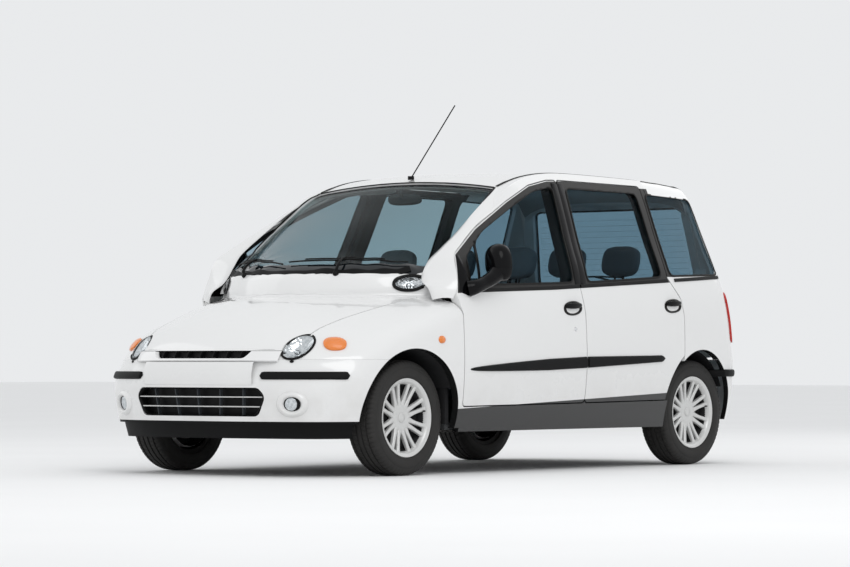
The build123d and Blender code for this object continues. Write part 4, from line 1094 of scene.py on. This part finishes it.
class MINIVAN_OT_mirrors(PieceOperator):
    """Make the door mirrors: a rounded head on a stalk that grows from a leaf-shaped foot"""

    bl_idname = "minivan.mirrors"
    bl_label = "Door Mirrors"

    PLACE = (0.932, -0.608, 1.128)
    FOOT = (-0.812, 0.985)
    COUNT = 48
    RIM = 0.0425
    # along the head from its nose to its rim: distance, share of the full size
    HEAD = ((-0.045, 0.20), (-0.042, 0.45), (-0.034, 0.68), (-0.020, 0.86), (0.0, 0.965), (0.022, 1.0),
            (0.038, 0.99), (RIM, 0.975))
    LEAF = [(-0.070, -0.020), (-0.064, 0.070), (-0.034, 0.180), (-0.012, 0.180), (0.006, 0.080),
            (0.048, 0.020), (0.066, -0.026), (0.0, -0.040)]

    def make(self):
        up = Vector((0, 0, 1))
        for side, sign in SIDES.items():
            body = f"front_door_{side}"
            way = (-sign, 0, 0)
            centre = Vector((sign * self.PLACE[0], *self.PLACE[1:]))
            lean = math.radians(-8 * sign)
            back = Vector((-math.sin(lean), math.cos(lean), 0))
            right = Vector((math.cos(lean), math.sin(lean), 0))
            rings = []
            for along, scale in self.HEAD:
                ring = []
                for c, s in circle(self.COUNT, 0.78, 0.86):
                    x, z = c * 0.079, s * 0.101
                    x *= 1 - 0.10 * (z / 0.1) * sign * (1 if x * sign > 0 else -1) * 0.5
                    x += -0.006 * sign * (z / 0.1)
                    ring.append(centre + back * along + (right * x + up * z) * scale
                                - up * (0.012 * (1 - scale)))
                rings.append(ring)
            rim, face = rings[-1], centre + back * self.RIM
            verts, faces = loft(rings + [[p - back * deep + (face - p) * share for p in rim]
                                         for deep, share in ((0.0, 0.10), (0.010, 0.12))], capped=False)
            tip = len(verts)
            verts.append(centre + back * -0.0455 - up * 0.0096)
            faces += [[tip, (k + 1) % self.COUNT, k] for k in range(self.COUNT)]
            foot_y, foot_z = self.FOOT
            foot, normal = meet((sign * FLANK, foot_y, foot_z), way, SKIN)
            path = smooth_path([foot + normal * 0.004, foot + Vector((sign * 0.028, 0.020, 0.008)),
                                (sign * 0.936, -0.735, 1.012), (sign * 0.945, -0.672, 1.040),
                                (sign * 0.944, -0.625, 1.066)], 6)
            radii = [line_at([(0, 0.046), (0.25, 0.040), (0.55, 0.036), (0.8, 0.040), (1, 0.048)], t)
                     for t in spread(0, 1, len(path) - 1)]
            leaf = on_side([(foot_y + a, foot_z + b) for a, b in rounded(self.LEAF, 0.014, 4)], sign)
            shell = join(f"door_mirror_shell_{side}", [(verts, faces), tube(path, radii, 20),
                                                       patch(leaf, way, dome(0.016, 1.5))], "gloss", body,
                         angle=50)
            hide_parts(f"door_mirror_{side}")
            glass = [p - back * 0.009 + (face - p) * 0.115 for p in rim]
            join(f"mirror_glass_{side}", [fan(glass, back * 0.0015)], "mirror", body, "gloss_black")


class MINIVAN_OT_lamps(PieceOperator):
    """Make the head, high-beam and fog lamps, the indicators, side repeaters and washer jets"""

    bl_idname = "minivan.lamps"
    bl_label = "Lamps"

    ACROSS = (1, 0, 0)
    AHEAD = (0, 1, 0)
    UP = (0, 0, 1)
    BULB = [(0.0005, -0.008), (0.008, -0.010), (0.012, -0.016), (0.013, -0.024), (0.011, -0.034)]
    SHADE = [(0.017, -0.012), (0.019, -0.012), (0.020, -0.030), (0.017, -0.030)]
    BEZEL = [(0, 0.0005), (0.54, 0.0005), (0.56, 0.004), (0.60, 0.011), (0.68, 0.0155), (0.78, 0.016),
             (0.90, 0.010), (0.97, 0.004), (1, 0.0)]

    def make(self):
        self.lamp("headlamp", (0.550, 0.672), (0.131, 0.123), "headlamps", 0.016, 0.006)
        self.lamp("high_beam", (0.647, 1.016), (0.122, 0.078), "high_beam_lamps", 0.002, 0.009)
        corner = Vector((-0.72, 0.69, 0)).normalized()
        side = Vector((0.69, 0.72, 0)).normalized()
        ring = oval(Vector((0.728, -1.71, 0.690)) - corner * 0.5, side, self.UP, 0.120, 0.068, 40, 2.3)
        sheet("front_indicators", ring, corner, dome(0.012, 3, 0.003), "orange", 60)
        ring = oval((FLANK, -1.063, 0.713), self.AHEAD, self.UP, 0.056, 0.040, 28, 2.2)
        sheet("side_repeaters", ring, (-1, 0, 0), dome(0.010, 3, 0.002), "orange", 60)
        self.fog_lamps()
        ring = oval((0.557, NOSE, 0.598), self.ACROSS, self.UP, 0.020, 0.013, 20)
        sheet("washer_jets", ring, self.AHEAD, dome(0.002, 1), "seal", rings=4)

    def lamp(self, name, place, size, node, bulge, rim):
        """A lens over a bright bowl, with a dark rim round it and a bulb in it."""
        own = tree_of([node])
        place = Vector((place[0], NOSE, place[1]))
        ring = oval(place, self.ACROSS, self.UP, size[0] * 0.985, size[1] * 0.985, 48, 2.15)
        glass, bowl = dome(bulge, 2, 0.001), dome(-0.034, 2.4, -0.004)
        lenses = sheet(f"{name}_lenses", ring, self.AHEAD, glass, "clear", 0, tree=own, rings=10)
        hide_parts(node)
        sheet(f"{name}_reflectors", ring, self.AHEAD, bowl, "reflector", 60, tree=own, rings=12)
        around = oval(place, self.ACROSS, self.UP, *size, 64, 2.15)
        strip(f"{name}_rims", around, rim, 0.0035, self.AHEAD, "seal", tree=SHELL, twice=True, section=LIPPED,
              closed=True)
        middle, normal = meet(place, self.AHEAD, own)
        middle -= Vector((0, 0, size[1] * 0.16))
        bulb, shade = turned(self.BULB, middle, normal, 24), turned(self.SHADE, middle, normal, 32)
        join(f"{name}_bulbs", both(bulb, shade), "chrome", slot="clear_lens")

    def fog_lamps(self):
        ahead = Vector((-0.42, 0.9, 0)).normalized()
        right = Vector((0.9, 0.42, 0)).normalized()
        place = Vector((0.586, -1.889, 0.378)) - ahead * 0.6
        wide, tall, well = 0.172, 0.134, 0.56
        ring = oval(place, right, self.UP, wide, tall, 48, 2.1)
        bezel = lambda s: line_at(self.BEZEL, s)
        sheet("fog_lamp_rings", ring, ahead, bezel, "paint", 70, rings=40, sink=0.002)
        ring = oval(place, right, self.UP, wide * well, tall * well, 40, 2.1)
        sheet("fog_lamp_wells", ring, ahead, lambda s: 0.0015, "seal", rings=6, sink=0.001)
        ring = oval(place - right * 0.006, right, self.UP, 0.066, 0.068, 32)
        sheet("fog_lamp_lenses", ring, ahead, dome(0.008, 2, 0.004), "clear", 0, sink=0.001)
        bowl = lambda s: 0.0025 + 0.001 * s
        sheet("fog_lamp_bowls", ring, ahead, bowl, "reflector", 0, rings=6, sink=0.001)


class MINIVAN_OT_nose(PieceOperator):
    """Make the nose above the bumper, its upper slot, the lower grille and the plate panel"""

    bl_idname = "minivan.nose"
    bl_label = "Nose and Grilles"

    @staticmethod
    def skin(x, z, depth=0.0):
        """A point on the front of the nose."""
        inset = line_at([(0.19, 0.062), (0.29, 0.040), (0.40, 0.026), (0.525, 0.012), (0.60, 0.026),
                         (0.64, 0.048), (0.662, 0.062)], z)
        bend = line_at([(0.0, 0.38), (0.52, 0.38), (0.68, 0.56), (1.0, 0.56)], z)
        inset += 0.016 * max(0, (abs(x) - 0.42) / 0.07) ** 2
        return Vector((x, -1.997 + inset + bend * abs(x) ** 3 + depth, z))

    @staticmethod
    def post(points, half, deep):
        """A flat bar that stands behind a line of points."""
        section = ((-half, 0), (half, 0), (half, deep), (-half, deep))
        return loft([[p + Vector((a, b, 0)) for a, b in section] for p in points])

    def make(self):
        skin = self.skin
        low, high, reach = 0.604, 0.652, 0.334
        shapes = []
        for x0, x1, steps in ((-0.492, -reach, 16), (-reach, reach, 60), (reach, 0.492, 16)):
            rings = []
            for x in spread(x0, x1, steps):
                top, edge = high, 0.003
                if x1 == -x0:
                    corner = max(0, (abs(x) / reach - 0.86) / 0.14)
                    top, edge = low + 0.010 + 0.036 * min(1, corner) ** 2, 0.002
                rings.append([skin(x, low - 0.006, 0.006), skin(x, low, 0.0005), skin(x, mix(low, top, 0.5)),
                              skin(x, top - edge), skin(x, top, 0.003), skin(x, top - 0.001, 0.030)])
            shapes.append(panel(rings, (0, 1, 0)))
        join("nose_lip", shapes, "paint", angle=40)
        back = [[skin(x, 0.590, 0.030), skin(x, 0.600, 0.046), skin(x, 0.655, 0.040), skin(x, 0.660, 0.030)]
                for x in spread(-0.485, 0.485, 60)]
        posts = [self.post([skin(x, 0.602, 0.012), skin(x, 0.652, 0.012)], 0.0025, 0.03)
                 for x in spread(-0.27, 0.27, 6)]
        join("upper_slot", [loft(back, closed=False), *posts], "trim")
        self.lower_grille()
        rows = []
        for x in spread(-0.375, 0.375, 72):
            raised = 0.005 * math.exp(-((abs(x) - 0.372) / 0.010) ** 2)
            rows.append([skin(x, z, -depth) for z, depth in (
                (0.478, 0.0006), (0.487, raised), (0.535, raised), (0.585, raised), (0.596, 0.0006))])
        join("plate_panel", [panel(rows, (0, 1, 0))], "paint")

    def lower_grille(self):
        skin = self.skin
        middle = 0.388
        outline = resampled(rounded([(-0.392, 0.320), (-0.438, 0.418), (-0.402, 0.456), (0.402, 0.456),
                                     (0.438, 0.418), (0.392, 0.320)], 0.036), 0.02)
        rim = [[skin(x * grow, mix(middle, z, grow), depth) for x, z in outline]
               for depth, grow in ((-0.001, 1.012), (-0.003, 1.004), (0.000, 0.992), (0.012, 0.982),
                                   (0.050, 0.975))]
        back = [[skin(x, z, 0.048) for z in (0.305, 0.36, 0.41, 0.47)] for x in spread(-0.445, 0.445, 24)]
        rim = loft([list(ring) for ring in zip(*rim)], closed=False, looped=True)
        surround = join("grille_surround", [rim, loft(back, closed=False)], "seal", angle=50)
        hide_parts("radiator_grille")
        section = ((0, -0.0035), (-0.003, -0.002), (-0.003, 0.002), (0, 0.0035), (0.012, 0.003),
                   (0.012, -0.003))
        bars = [loft([[skin(x, z, 0.006) + Vector((0, a, b)) for a, b in section]
                      for x in spread(-reach, reach, 48)]) for z, reach in ((0.414, 0.434), (0.364, 0.412))]
        join("grille_bars", bars, "wheel", slot="dark_plastic")
        ribs = []
        for x in spread(-0.30, 0.30, 4):
            lean = 0.10 * (1 if x > 0 else -1 if x < 0 else 0)
            points = [skin(x + (z - middle) * lean, z, 0.012) for z in (0.316, 0.35, 0.39, 0.43, 0.458)]
            ribs.append(self.post(points, 0.003, 0.02))
        join("grille_ribs", ribs, "dash")


class MINIVAN_OT_tail(PieceOperator):
    """Make the tailgate's seal, wiper, handle, plate panel, heater lines and high stop lamp"""

    bl_idname = "minivan.tail"
    bl_label = "Tailgate Trim"

    def make(self):
        way = (0, -1, 0)
        skin = tree_of(["tailgate", "tailgate_glass"])
        on_tail = dict(body="tailgate", tree=skin)
        outline = rounded([(-0.585, 1.055), (-0.542, 1.508), (0.542, 1.508), (0.585, 1.055)], 0.045)
        path = [(x, TAIL, z) for x, z in resampled(outline, 0.02)]
        strip("back_window_seal", path, 0.0065, 0.002, way, "seal", section=RIDGED, closed=True, **on_tail)
        lines = []
        for z, reach in zip(spread(1.12, 1.45, 10), spread(0.545, 0.515, 10)):
            feet = [meet((x, TAIL, z), way, skin) for x in spread(-reach, reach, 24)]
            lines.append(tube([p - n * 0.0068 for p, n in feet], 0.0007, 4))
        join("heater_lines", lines, "steel", "tailgate", "tinted_glass")
        blade = []
        for t in spread(0, 1, 16):
            x = mix(-0.42, 0.02, t)
            foot, normal = meet((x, TAIL, 1.10 + 0.01 * math.sin(math.pi * t)), way, skin)
            blade.append(foot + normal * 0.014)
        start, normal = meet((0.10, TAIL, 1.035), way, skin)
        arm = smooth_path([start + normal * 0.012, start.lerp(blade[8], 0.3) + normal * 0.022,
                           blade[8] + Vector((0, 0.010, 0))], 8)
        boss = turned([(0.0005, 0.026), (0.014, 0.024), (0.020, 0.014), (0.022, -0.004)], start, normal, 28)
        join("back_wiper", [tube(blade, 0.005, 8), tube(arm, 0.006, 8), boss], "seal", "tailgate")
        bar = [(x, TAIL, 0.925) for x in spread(-0.27, 0.27, 30)]
        strip("tailgate_handle", bar, lambda t: 0.024 * min(1, math.sqrt(max(0.01, min(t, 1 - t) * 14))),
              0.016, way, "gloss", **on_tail)
        plate = []
        for x in spread(-0.28, 0.28, 40):
            column = []
            for z, lift in ((0.735, 0.0), (0.741, 0.004), (0.800, 0.004), (0.859, 0.004), (0.865, 0.0)):
                foot, normal = meet((x, TAIL, z), way, skin)
                column.append(foot + normal * (lift if abs(x) < 0.272 else 0.0) + normal * 0.0005)
            plate.append(column)
        join("back_plate_panel", [panel(plate, way)], "paint", "tailgate")
        strip("high_stop_lamp", [(x, TAIL, 1.560) for x in spread(-0.14, 0.14, 20)], 0.012, 0.006, way, "red",
              **on_tail)


class MINIVAN_OT_cabin(PieceOperator):
    """Make the dashboard, steering column, vents, inner mirror, roof lining, visors and door trims"""

    bl_idname = "minivan.cabin"
    bl_label = "Cabin"

    def make(self):
        rings = []
        for x in spread(-0.735, 0.735, 40):
            side = abs(x) / 0.735
            hood = 0.030 * math.exp(-((x - 0.430) / 0.16) ** 4) + 0.018 * math.exp(-(x / 0.26) ** 4)
            rings.append([Vector((x, y, z)) for y, z in (
                (-1.175 + 0.7 * x * x, 1.030 - 0.03 * side), (-1.02 + 0.2 * x * x, 1.020 - 0.02 * side),
                (-0.80, 1.000 + hood * 0.5), (-0.64, 0.985 + hood), (-0.600, 0.965 + hood),
                (-0.598, 0.935 + hood * 0.6), (-0.640, 0.900), (-0.615, 0.850), (-0.590, 0.780),
                (-0.600, 0.705), (-0.650, 0.680), (-0.86, 0.700), (-0.88, 0.950), (-0.90, 0.965))])
        dash = join("dashboard_moulding", [loft(rings)], "dash", angle=45)
        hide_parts("dashboard")
        wheel = joint_of("steering_wheel_turn")
        column = turned([(0.034, -0.26), (0.040, -0.10), (0.046, -0.03), (0.040, -0.0235)],
                        Vector(wheel["pos_m"]), (0, 0.882948, 0.469472), 32)
        join("steering_column", [column], "dash")
        vents = []
        for x in (-0.62, -0.12, 0.12, 0.62):
            for z in spread(0.872, 0.905, 3):
                vents.append(loft([[Vector((x + end, y, z + rise)) for y, rise in (
                    (-0.606, 0), (-0.596, 0.003), (-0.606, 0.005))] for end in (-0.055, 0.055)]))
        join("air_vents", vents, "seal")
        self.mirror()
        roof = tree_of(["roof_panel"])
        lining = []
        for y in spread(-0.205, 1.690, 28):
            row = []
            for x in spread(-0.585, 0.585, 24):
                place, _, _, _ = roof.ray_cast(Vector((x, y, 1.30)), Vector((0, 0, 1)))
                row.append(Vector((x, y, (place.z if place else 1.5) - 0.012)))
            lining.append(row)
        join("roof_lining", [panel(lining, (0, 0, 1))], "lining")
        visors = []
        for x in (-0.36, 0.36):
            middle = Vector((x, -0.115, 1.553))
            ring = oval(middle, (1, 0, 0), (0, 0.95, 0.12), 0.38, 0.14, 32, 3.2)
            visors.append(loft([[p.lerp(middle, 0.1) + Vector((0, 0, -0.006)) for p in ring], ring,
                                [p + Vector((0, 0, 0.012)) for p in ring]]))
        join("sun_visors", visors, "lining")
        for side, sign in SIDES.items():
            for place, y0, y1 in (("front", DOOR_A_Y + 0.075, DOOR_B_Y - 0.075),
                                  ("rear", DOOR_B_Y + 0.085, DOOR_C_Y - 0.215)):
                self.door_trim(place, side, sign, y0, y1)

    @staticmethod
    def mirror():
        glass = oval((0, -0.222, 1.505), (1, 0, 0), (0, -0.25, 0.97), 0.235, 0.066, 40, 3.0)
        middle = sum(glass, Vector()) / len(glass)
        rings = [glass, [p.lerp(middle, 0.04) + Vector((0, -0.012, -0.003)) for p in glass],
                 [p.lerp(middle, 0.35) + Vector((0, -0.026, -0.006)) for p in glass]]
        stem = tube(smooth_path([(0, -0.250, 1.505), (0, -0.262, 1.535), (0, -0.255, 1.560)], 5), 0.009, 10)
        join("inner_mirror", [loft(rings), stem], "dash")
        face = fan([p + Vector((0, 0.0008, 0)) for p in glass], Vector((0, 0.0002, 0)))
        join("inner_mirror_glass", [facing(face, (0, -1, 0))], "mirror", slot="dark_plastic")

    @staticmethod
    def door_trim(place, side, sign, y0, y1):
        """A lining inside a door, with an arm rest and a pocket."""
        own = tree_of([f"{place}_door_{side}"])
        high, wide = 18, 20
        rows = []
        for i, z in enumerate(spread(0.420, 0.950, high)):
            row = []
            for k, y in enumerate(spread(y0, y1, wide)):
                foot, _, _, _ = own.ray_cast(Vector((sign * 0.4, y, z)), Vector((sign, 0, 0)))
                ends = min(1, 6 * min(k, wide - k) / wide)
                arm = 0.045 * math.exp(-((z - 0.74) / 0.035) ** 2) * ends
                pocket = 0.03 * math.exp(-((z - 0.49) / 0.05) ** 2) * ends
                edge = 0.0 if i in (0, high) or k in (0, wide) else 0.007
                x = foot.x if foot else sign * 0.85
                row.append(Vector((x - sign * (edge + arm * 0.8 + pocket * 0.6), y, z)))
            rows.append(row)
        join(f"{place}_door_trim_{side}", [panel(rows, (sign, 0, 0))], "inner",
             f"{place}_door_{side}")


CLOTH_FRAMES = 20


class MINIVAN_OT_seats(PieceOperator):
    """Make two rows of three padded seats with tall rounded headrests"""

    bl_idname = "minivan.seats"
    bl_label = "Seats"

    COUNT = 48

    def block(self, half, low, high, rounding, crown):
        """A closed cushion form with rounded corners, as loops from bottom to top."""
        count = self.COUNT
        rings = []
        for t, scale in ((0, 0.80), (0.04, 0.93), (0.16, 1), (0.5, 1), (0.84, 1), (0.96, 0.93), (1, 0.80)):
            rings.append([Vector((x * half[0] * scale, y * half[1] * scale, mix(low, high, t)))
                          for x, y in circle(count, rounding, rounding)])
        verts, faces = loft(rings, capped=False)
        for rim, height, way in ((0, low, -1), (6 * count, high + crown, 1)):
            loops = [rim, len(verts), len(verts) + count]
            for scale, lift in ((0.75, 0.6), (0.4, 0.92)):
                verts += [Vector((p.x * scale, p.y * scale, mix(p.z, height, lift)))
                          for p in verts[rim:rim + count]]
            tip = len(verts)
            verts.append(Vector((0, 0, height)))
            for k in range(count):
                j = (k + 1) % count
                faces += [[a + k, a + j, b + j, b + k][::way] for a, b in zip(loops, loops[1:])]
                faces.append([loops[-1] + k, loops[-1] + j, tip][::way])
        return verts, faces

    @staticmethod
    def plump(shape, cap, voxel):
        """Swells a closed form as stuffed cloth, and gives back its vertices and faces."""
        verts, faces = shape
        mesh = bpy.data.meshes.new("pad_form")
        mesh.from_pydata([tuple(v) for v in verts], [], faces)
        obj = bpy.data.objects.new("pad_form", mesh)
        scene = bpy.context.scene
        scene.collection.objects.link(obj)
        remesh = obj.modifiers.new("remesh", "REMESH")
        remesh.mode = "VOXEL"
        remesh.voxel_size = voxel
        settle(obj)
        start = [v.co.copy() for v in obj.data.vertices]
        stuffing = obj.modifiers.new("cloth", "CLOTH")
        settings = stuffing.settings
        settings.use_pressure = True
        settings.uniform_pressure_force = 4
        settings.tension_stiffness = 25
        settings.bending_stiffness = 1.0
        settings.effector_weights.gravity = 0
        stuffing.point_cache.frame_end = CLOTH_FRAMES
        for step in range(1, CLOTH_FRAMES + 1):
            scene.frame_set(step)
        settle(obj)
        scene.frame_set(1)
        for vertex, place in zip(obj.data.vertices, start):
            move = vertex.co - place
            if move.length > cap:
                vertex.co = place + move.normalized() * cap
        verts = [v.co.copy() for v in obj.data.vertices]
        faces = [list(polygon.vertices) for polygon in obj.data.polygons]
        bpy.data.objects.remove(obj)
        return verts, faces

    def make(self):
        forms = {
            "cushion": self.plump(self.block((0.168, 0.205), 0.012, 0.108, 0.42, 0.012), 0.024, 0.0115),
            "back": self.plump(self.block((0.165, 0.262), 0.012, 0.088, 0.40, 0.010), 0.024, 0.0115),
            "headrest": self.plump(self.block((0.112, 0.078), 0.010, 0.070, 0.60, 0.006), 0.018, 0.0085),
        }
        move, size = Matrix.Translation, Matrix.Diagonal
        lean = Matrix.Rotation(math.radians(-14), 4, "X")
        stand = Matrix.Rotation(math.radians(90), 4, "X")
        foot = ((-0.15, -0.16), (0.15, -0.16), (0.15, 0.21), (-0.15, 0.21))
        for row, spacing, y, low, floor_z, slim in (("front", 0.430, -0.190, 0.370, 0.265, 1.0),
                                                    ("rear", 0.390, 0.884, 0.402, 0.372, 0.94)):
            frames = []
            for place, x in (("right", -spacing), ("middle", 0.0), ("left", spacing)):
                hinge = move((x, y + 0.215, low + 0.100)) @ lean
                places = {
                    "cushion": move((x, y + 0.025, low)) @ size((slim, 1, 1.12, 1)),
                    "back": hinge @ move((0, 0.098, 0.310)) @ stand @ size((slim * 1.08, 1.08, 1, 1)),
                    "headrest": hinge @ move((0, 0.092, 0.715)) @ stand @ size((1.12, 1.15, 1, 1)),
                }
                for name, (verts, faces) in forms.items():
                    pad = piece(f"{row}_{name}_{place}", [places[name] @ v for v in verts], faces, "cloth",
                                angle=0, subdivide=1)
                    if name == "cushion" and place == "middle":
                        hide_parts(f"{row}_seats")
                frames.append(loft([[Vector((x + a, y + b, z)) for a, b in foot]
                                    for z in (floor_z + 0.0004, floor_z + 0.012, low + 0.02)]))
                for side in (-0.03, 0.03):
                    stem = [hinge @ Vector((side, 0.055, z)) for z in spread(0.52, 0.70, 3)]
                    frames.append(tube(stem, 0.0065, 10))
            join(f"{row}_seat_frames", frames, "underseal", slot="chassis_paint", angle=40)


def settle(obj):
    """Replaces an object's mesh by what its modifiers make of it."""
    graph = bpy.context.evaluated_depsgraph_get()
    mesh = bpy.data.meshes.new_from_object(obj.evaluated_get(graph))
    obj.modifiers.clear()
    obj.data = mesh


class MINIVAN_OT_stage(PieceOperator):
    """Make the floor, the lights and the camera"""

    bl_idname = "minivan.stage"
    bl_label = "Studio"

    REACH = 60.0
    MIDDLE = (0, 0, 0.7)
    EYE = (12.604, -16.056, 0.600)
    GAZE = (-0.61835, 0.78561, 0.02145)
    LENS = 153.08
    SKY = (0.97, 0.985, 1.0, 1)
    SKY_STRENGTH = 0.84
    # name, place, size and power
    LAMPS = (("key", (6.5, -5.5, 7.5), 6.0, 230), ("fill", (-7.5, -3.0, 5.0), 6.0, 50),
             ("back", (1.0, 8.5, 6.0), 7.0, 90))

    def make(self):
        scene = bpy.context.scene
        mesh = bpy.data.meshes.new("studio_floor")
        corners = [(x * self.REACH, y * self.REACH, 0) for x, y in ((-1, -1), (1, -1), (1, 1), (-1, 1))]
        mesh.from_pydata(corners, [], [[0, 1, 2, 3]])
        mesh.materials.append(finish_of("floor"))
        ground = bpy.data.objects.new("studio_floor", mesh)
        scene.collection.objects.link(ground)
        world = scene.world or bpy.data.worlds.new("studio")
        scene.world = world
        world.use_nodes = True
        background = world.node_tree.nodes["Background"]
        background.inputs["Color"].default_value = self.SKY
        background.inputs["Strength"].default_value = self.SKY_STRENGTH
        scene.view_settings.view_transform = "Standard"
        for name, place, size, power in self.LAMPS:
            lamp = bpy.data.lights.new(name, "AREA")
            lamp.shape = "DISK"
            lamp.size = size
            lamp.energy = power
            self.aim(name, lamp, place, Vector(self.MIDDLE) - Vector(place))
        eye = bpy.data.cameras.new("camera")
        eye.lens = self.LENS
        eye.sensor_width = 36
        eye.clip_end = 200
        scene.camera = self.aim("camera", eye, self.EYE, Vector(self.GAZE))

    @staticmethod
    def aim(name, data, place, way):
        """An object at a place that looks along a direction."""
        obj = bpy.data.objects.new(name, data)
        obj.location = place
        obj.rotation_mode = "QUATERNION"
        obj.rotation_quaternion = way.to_track_quat("-Z", "Y")
        bpy.context.scene.collection.objects.link(obj)
        return obj


class MINIVAN_PT_sidebar(bpy.types.Panel):
    """Lists the car's pieces"""

    bl_idname = "MINIVAN_PT_sidebar"
    bl_label = "Compact Minivan"
    bl_space_type = "VIEW_3D"
    bl_region_type = "UI"
    bl_category = "Minivan"

    def draw(self, context):
        column = self.layout.column()
        for operator in OPERATORS:
            column.operator(operator.bl_idname)
        for group in (context.scene.minivan_colours, context.scene.minivan_sizes):
            for key in group.__annotations__:
                column.prop(group, key)


OPERATORS = (
    MINIVAN_OT_panels,
    MINIVAN_OT_wheels,
    MINIVAN_OT_mouldings,
    MINIVAN_OT_pillars,
    MINIVAN_OT_windows,
    MINIVAN_OT_handles,
    MINIVAN_OT_mirrors,
    MINIVAN_OT_lamps,
    MINIVAN_OT_nose,
    MINIVAN_OT_tail,
    MINIVAN_OT_cabin,
    MINIVAN_OT_seats,
    MINIVAN_OT_stage,
)
CLASSES = (MinivanColours, MinivanSizes, *OPERATORS, MINIVAN_PT_sidebar)


def register():
    for item in CLASSES:
        bpy.utils.register_class(item)
    bpy.types.Scene.minivan_colours = PointerProperty(type=MinivanColours)
    bpy.types.Scene.minivan_sizes = PointerProperty(type=MinivanSizes)


def unregister():
    del bpy.types.Scene.minivan_colours
    del bpy.types.Scene.minivan_sizes
    for item in reversed(CLASSES):
        bpy.utils.unregister_class(item)


def main():
    register()
    for operator in OPERATORS:
        group, name = operator.bl_idname.split(".")
        getattr(getattr(bpy.ops, group), name)()


if __name__ == "__main__":
    main()
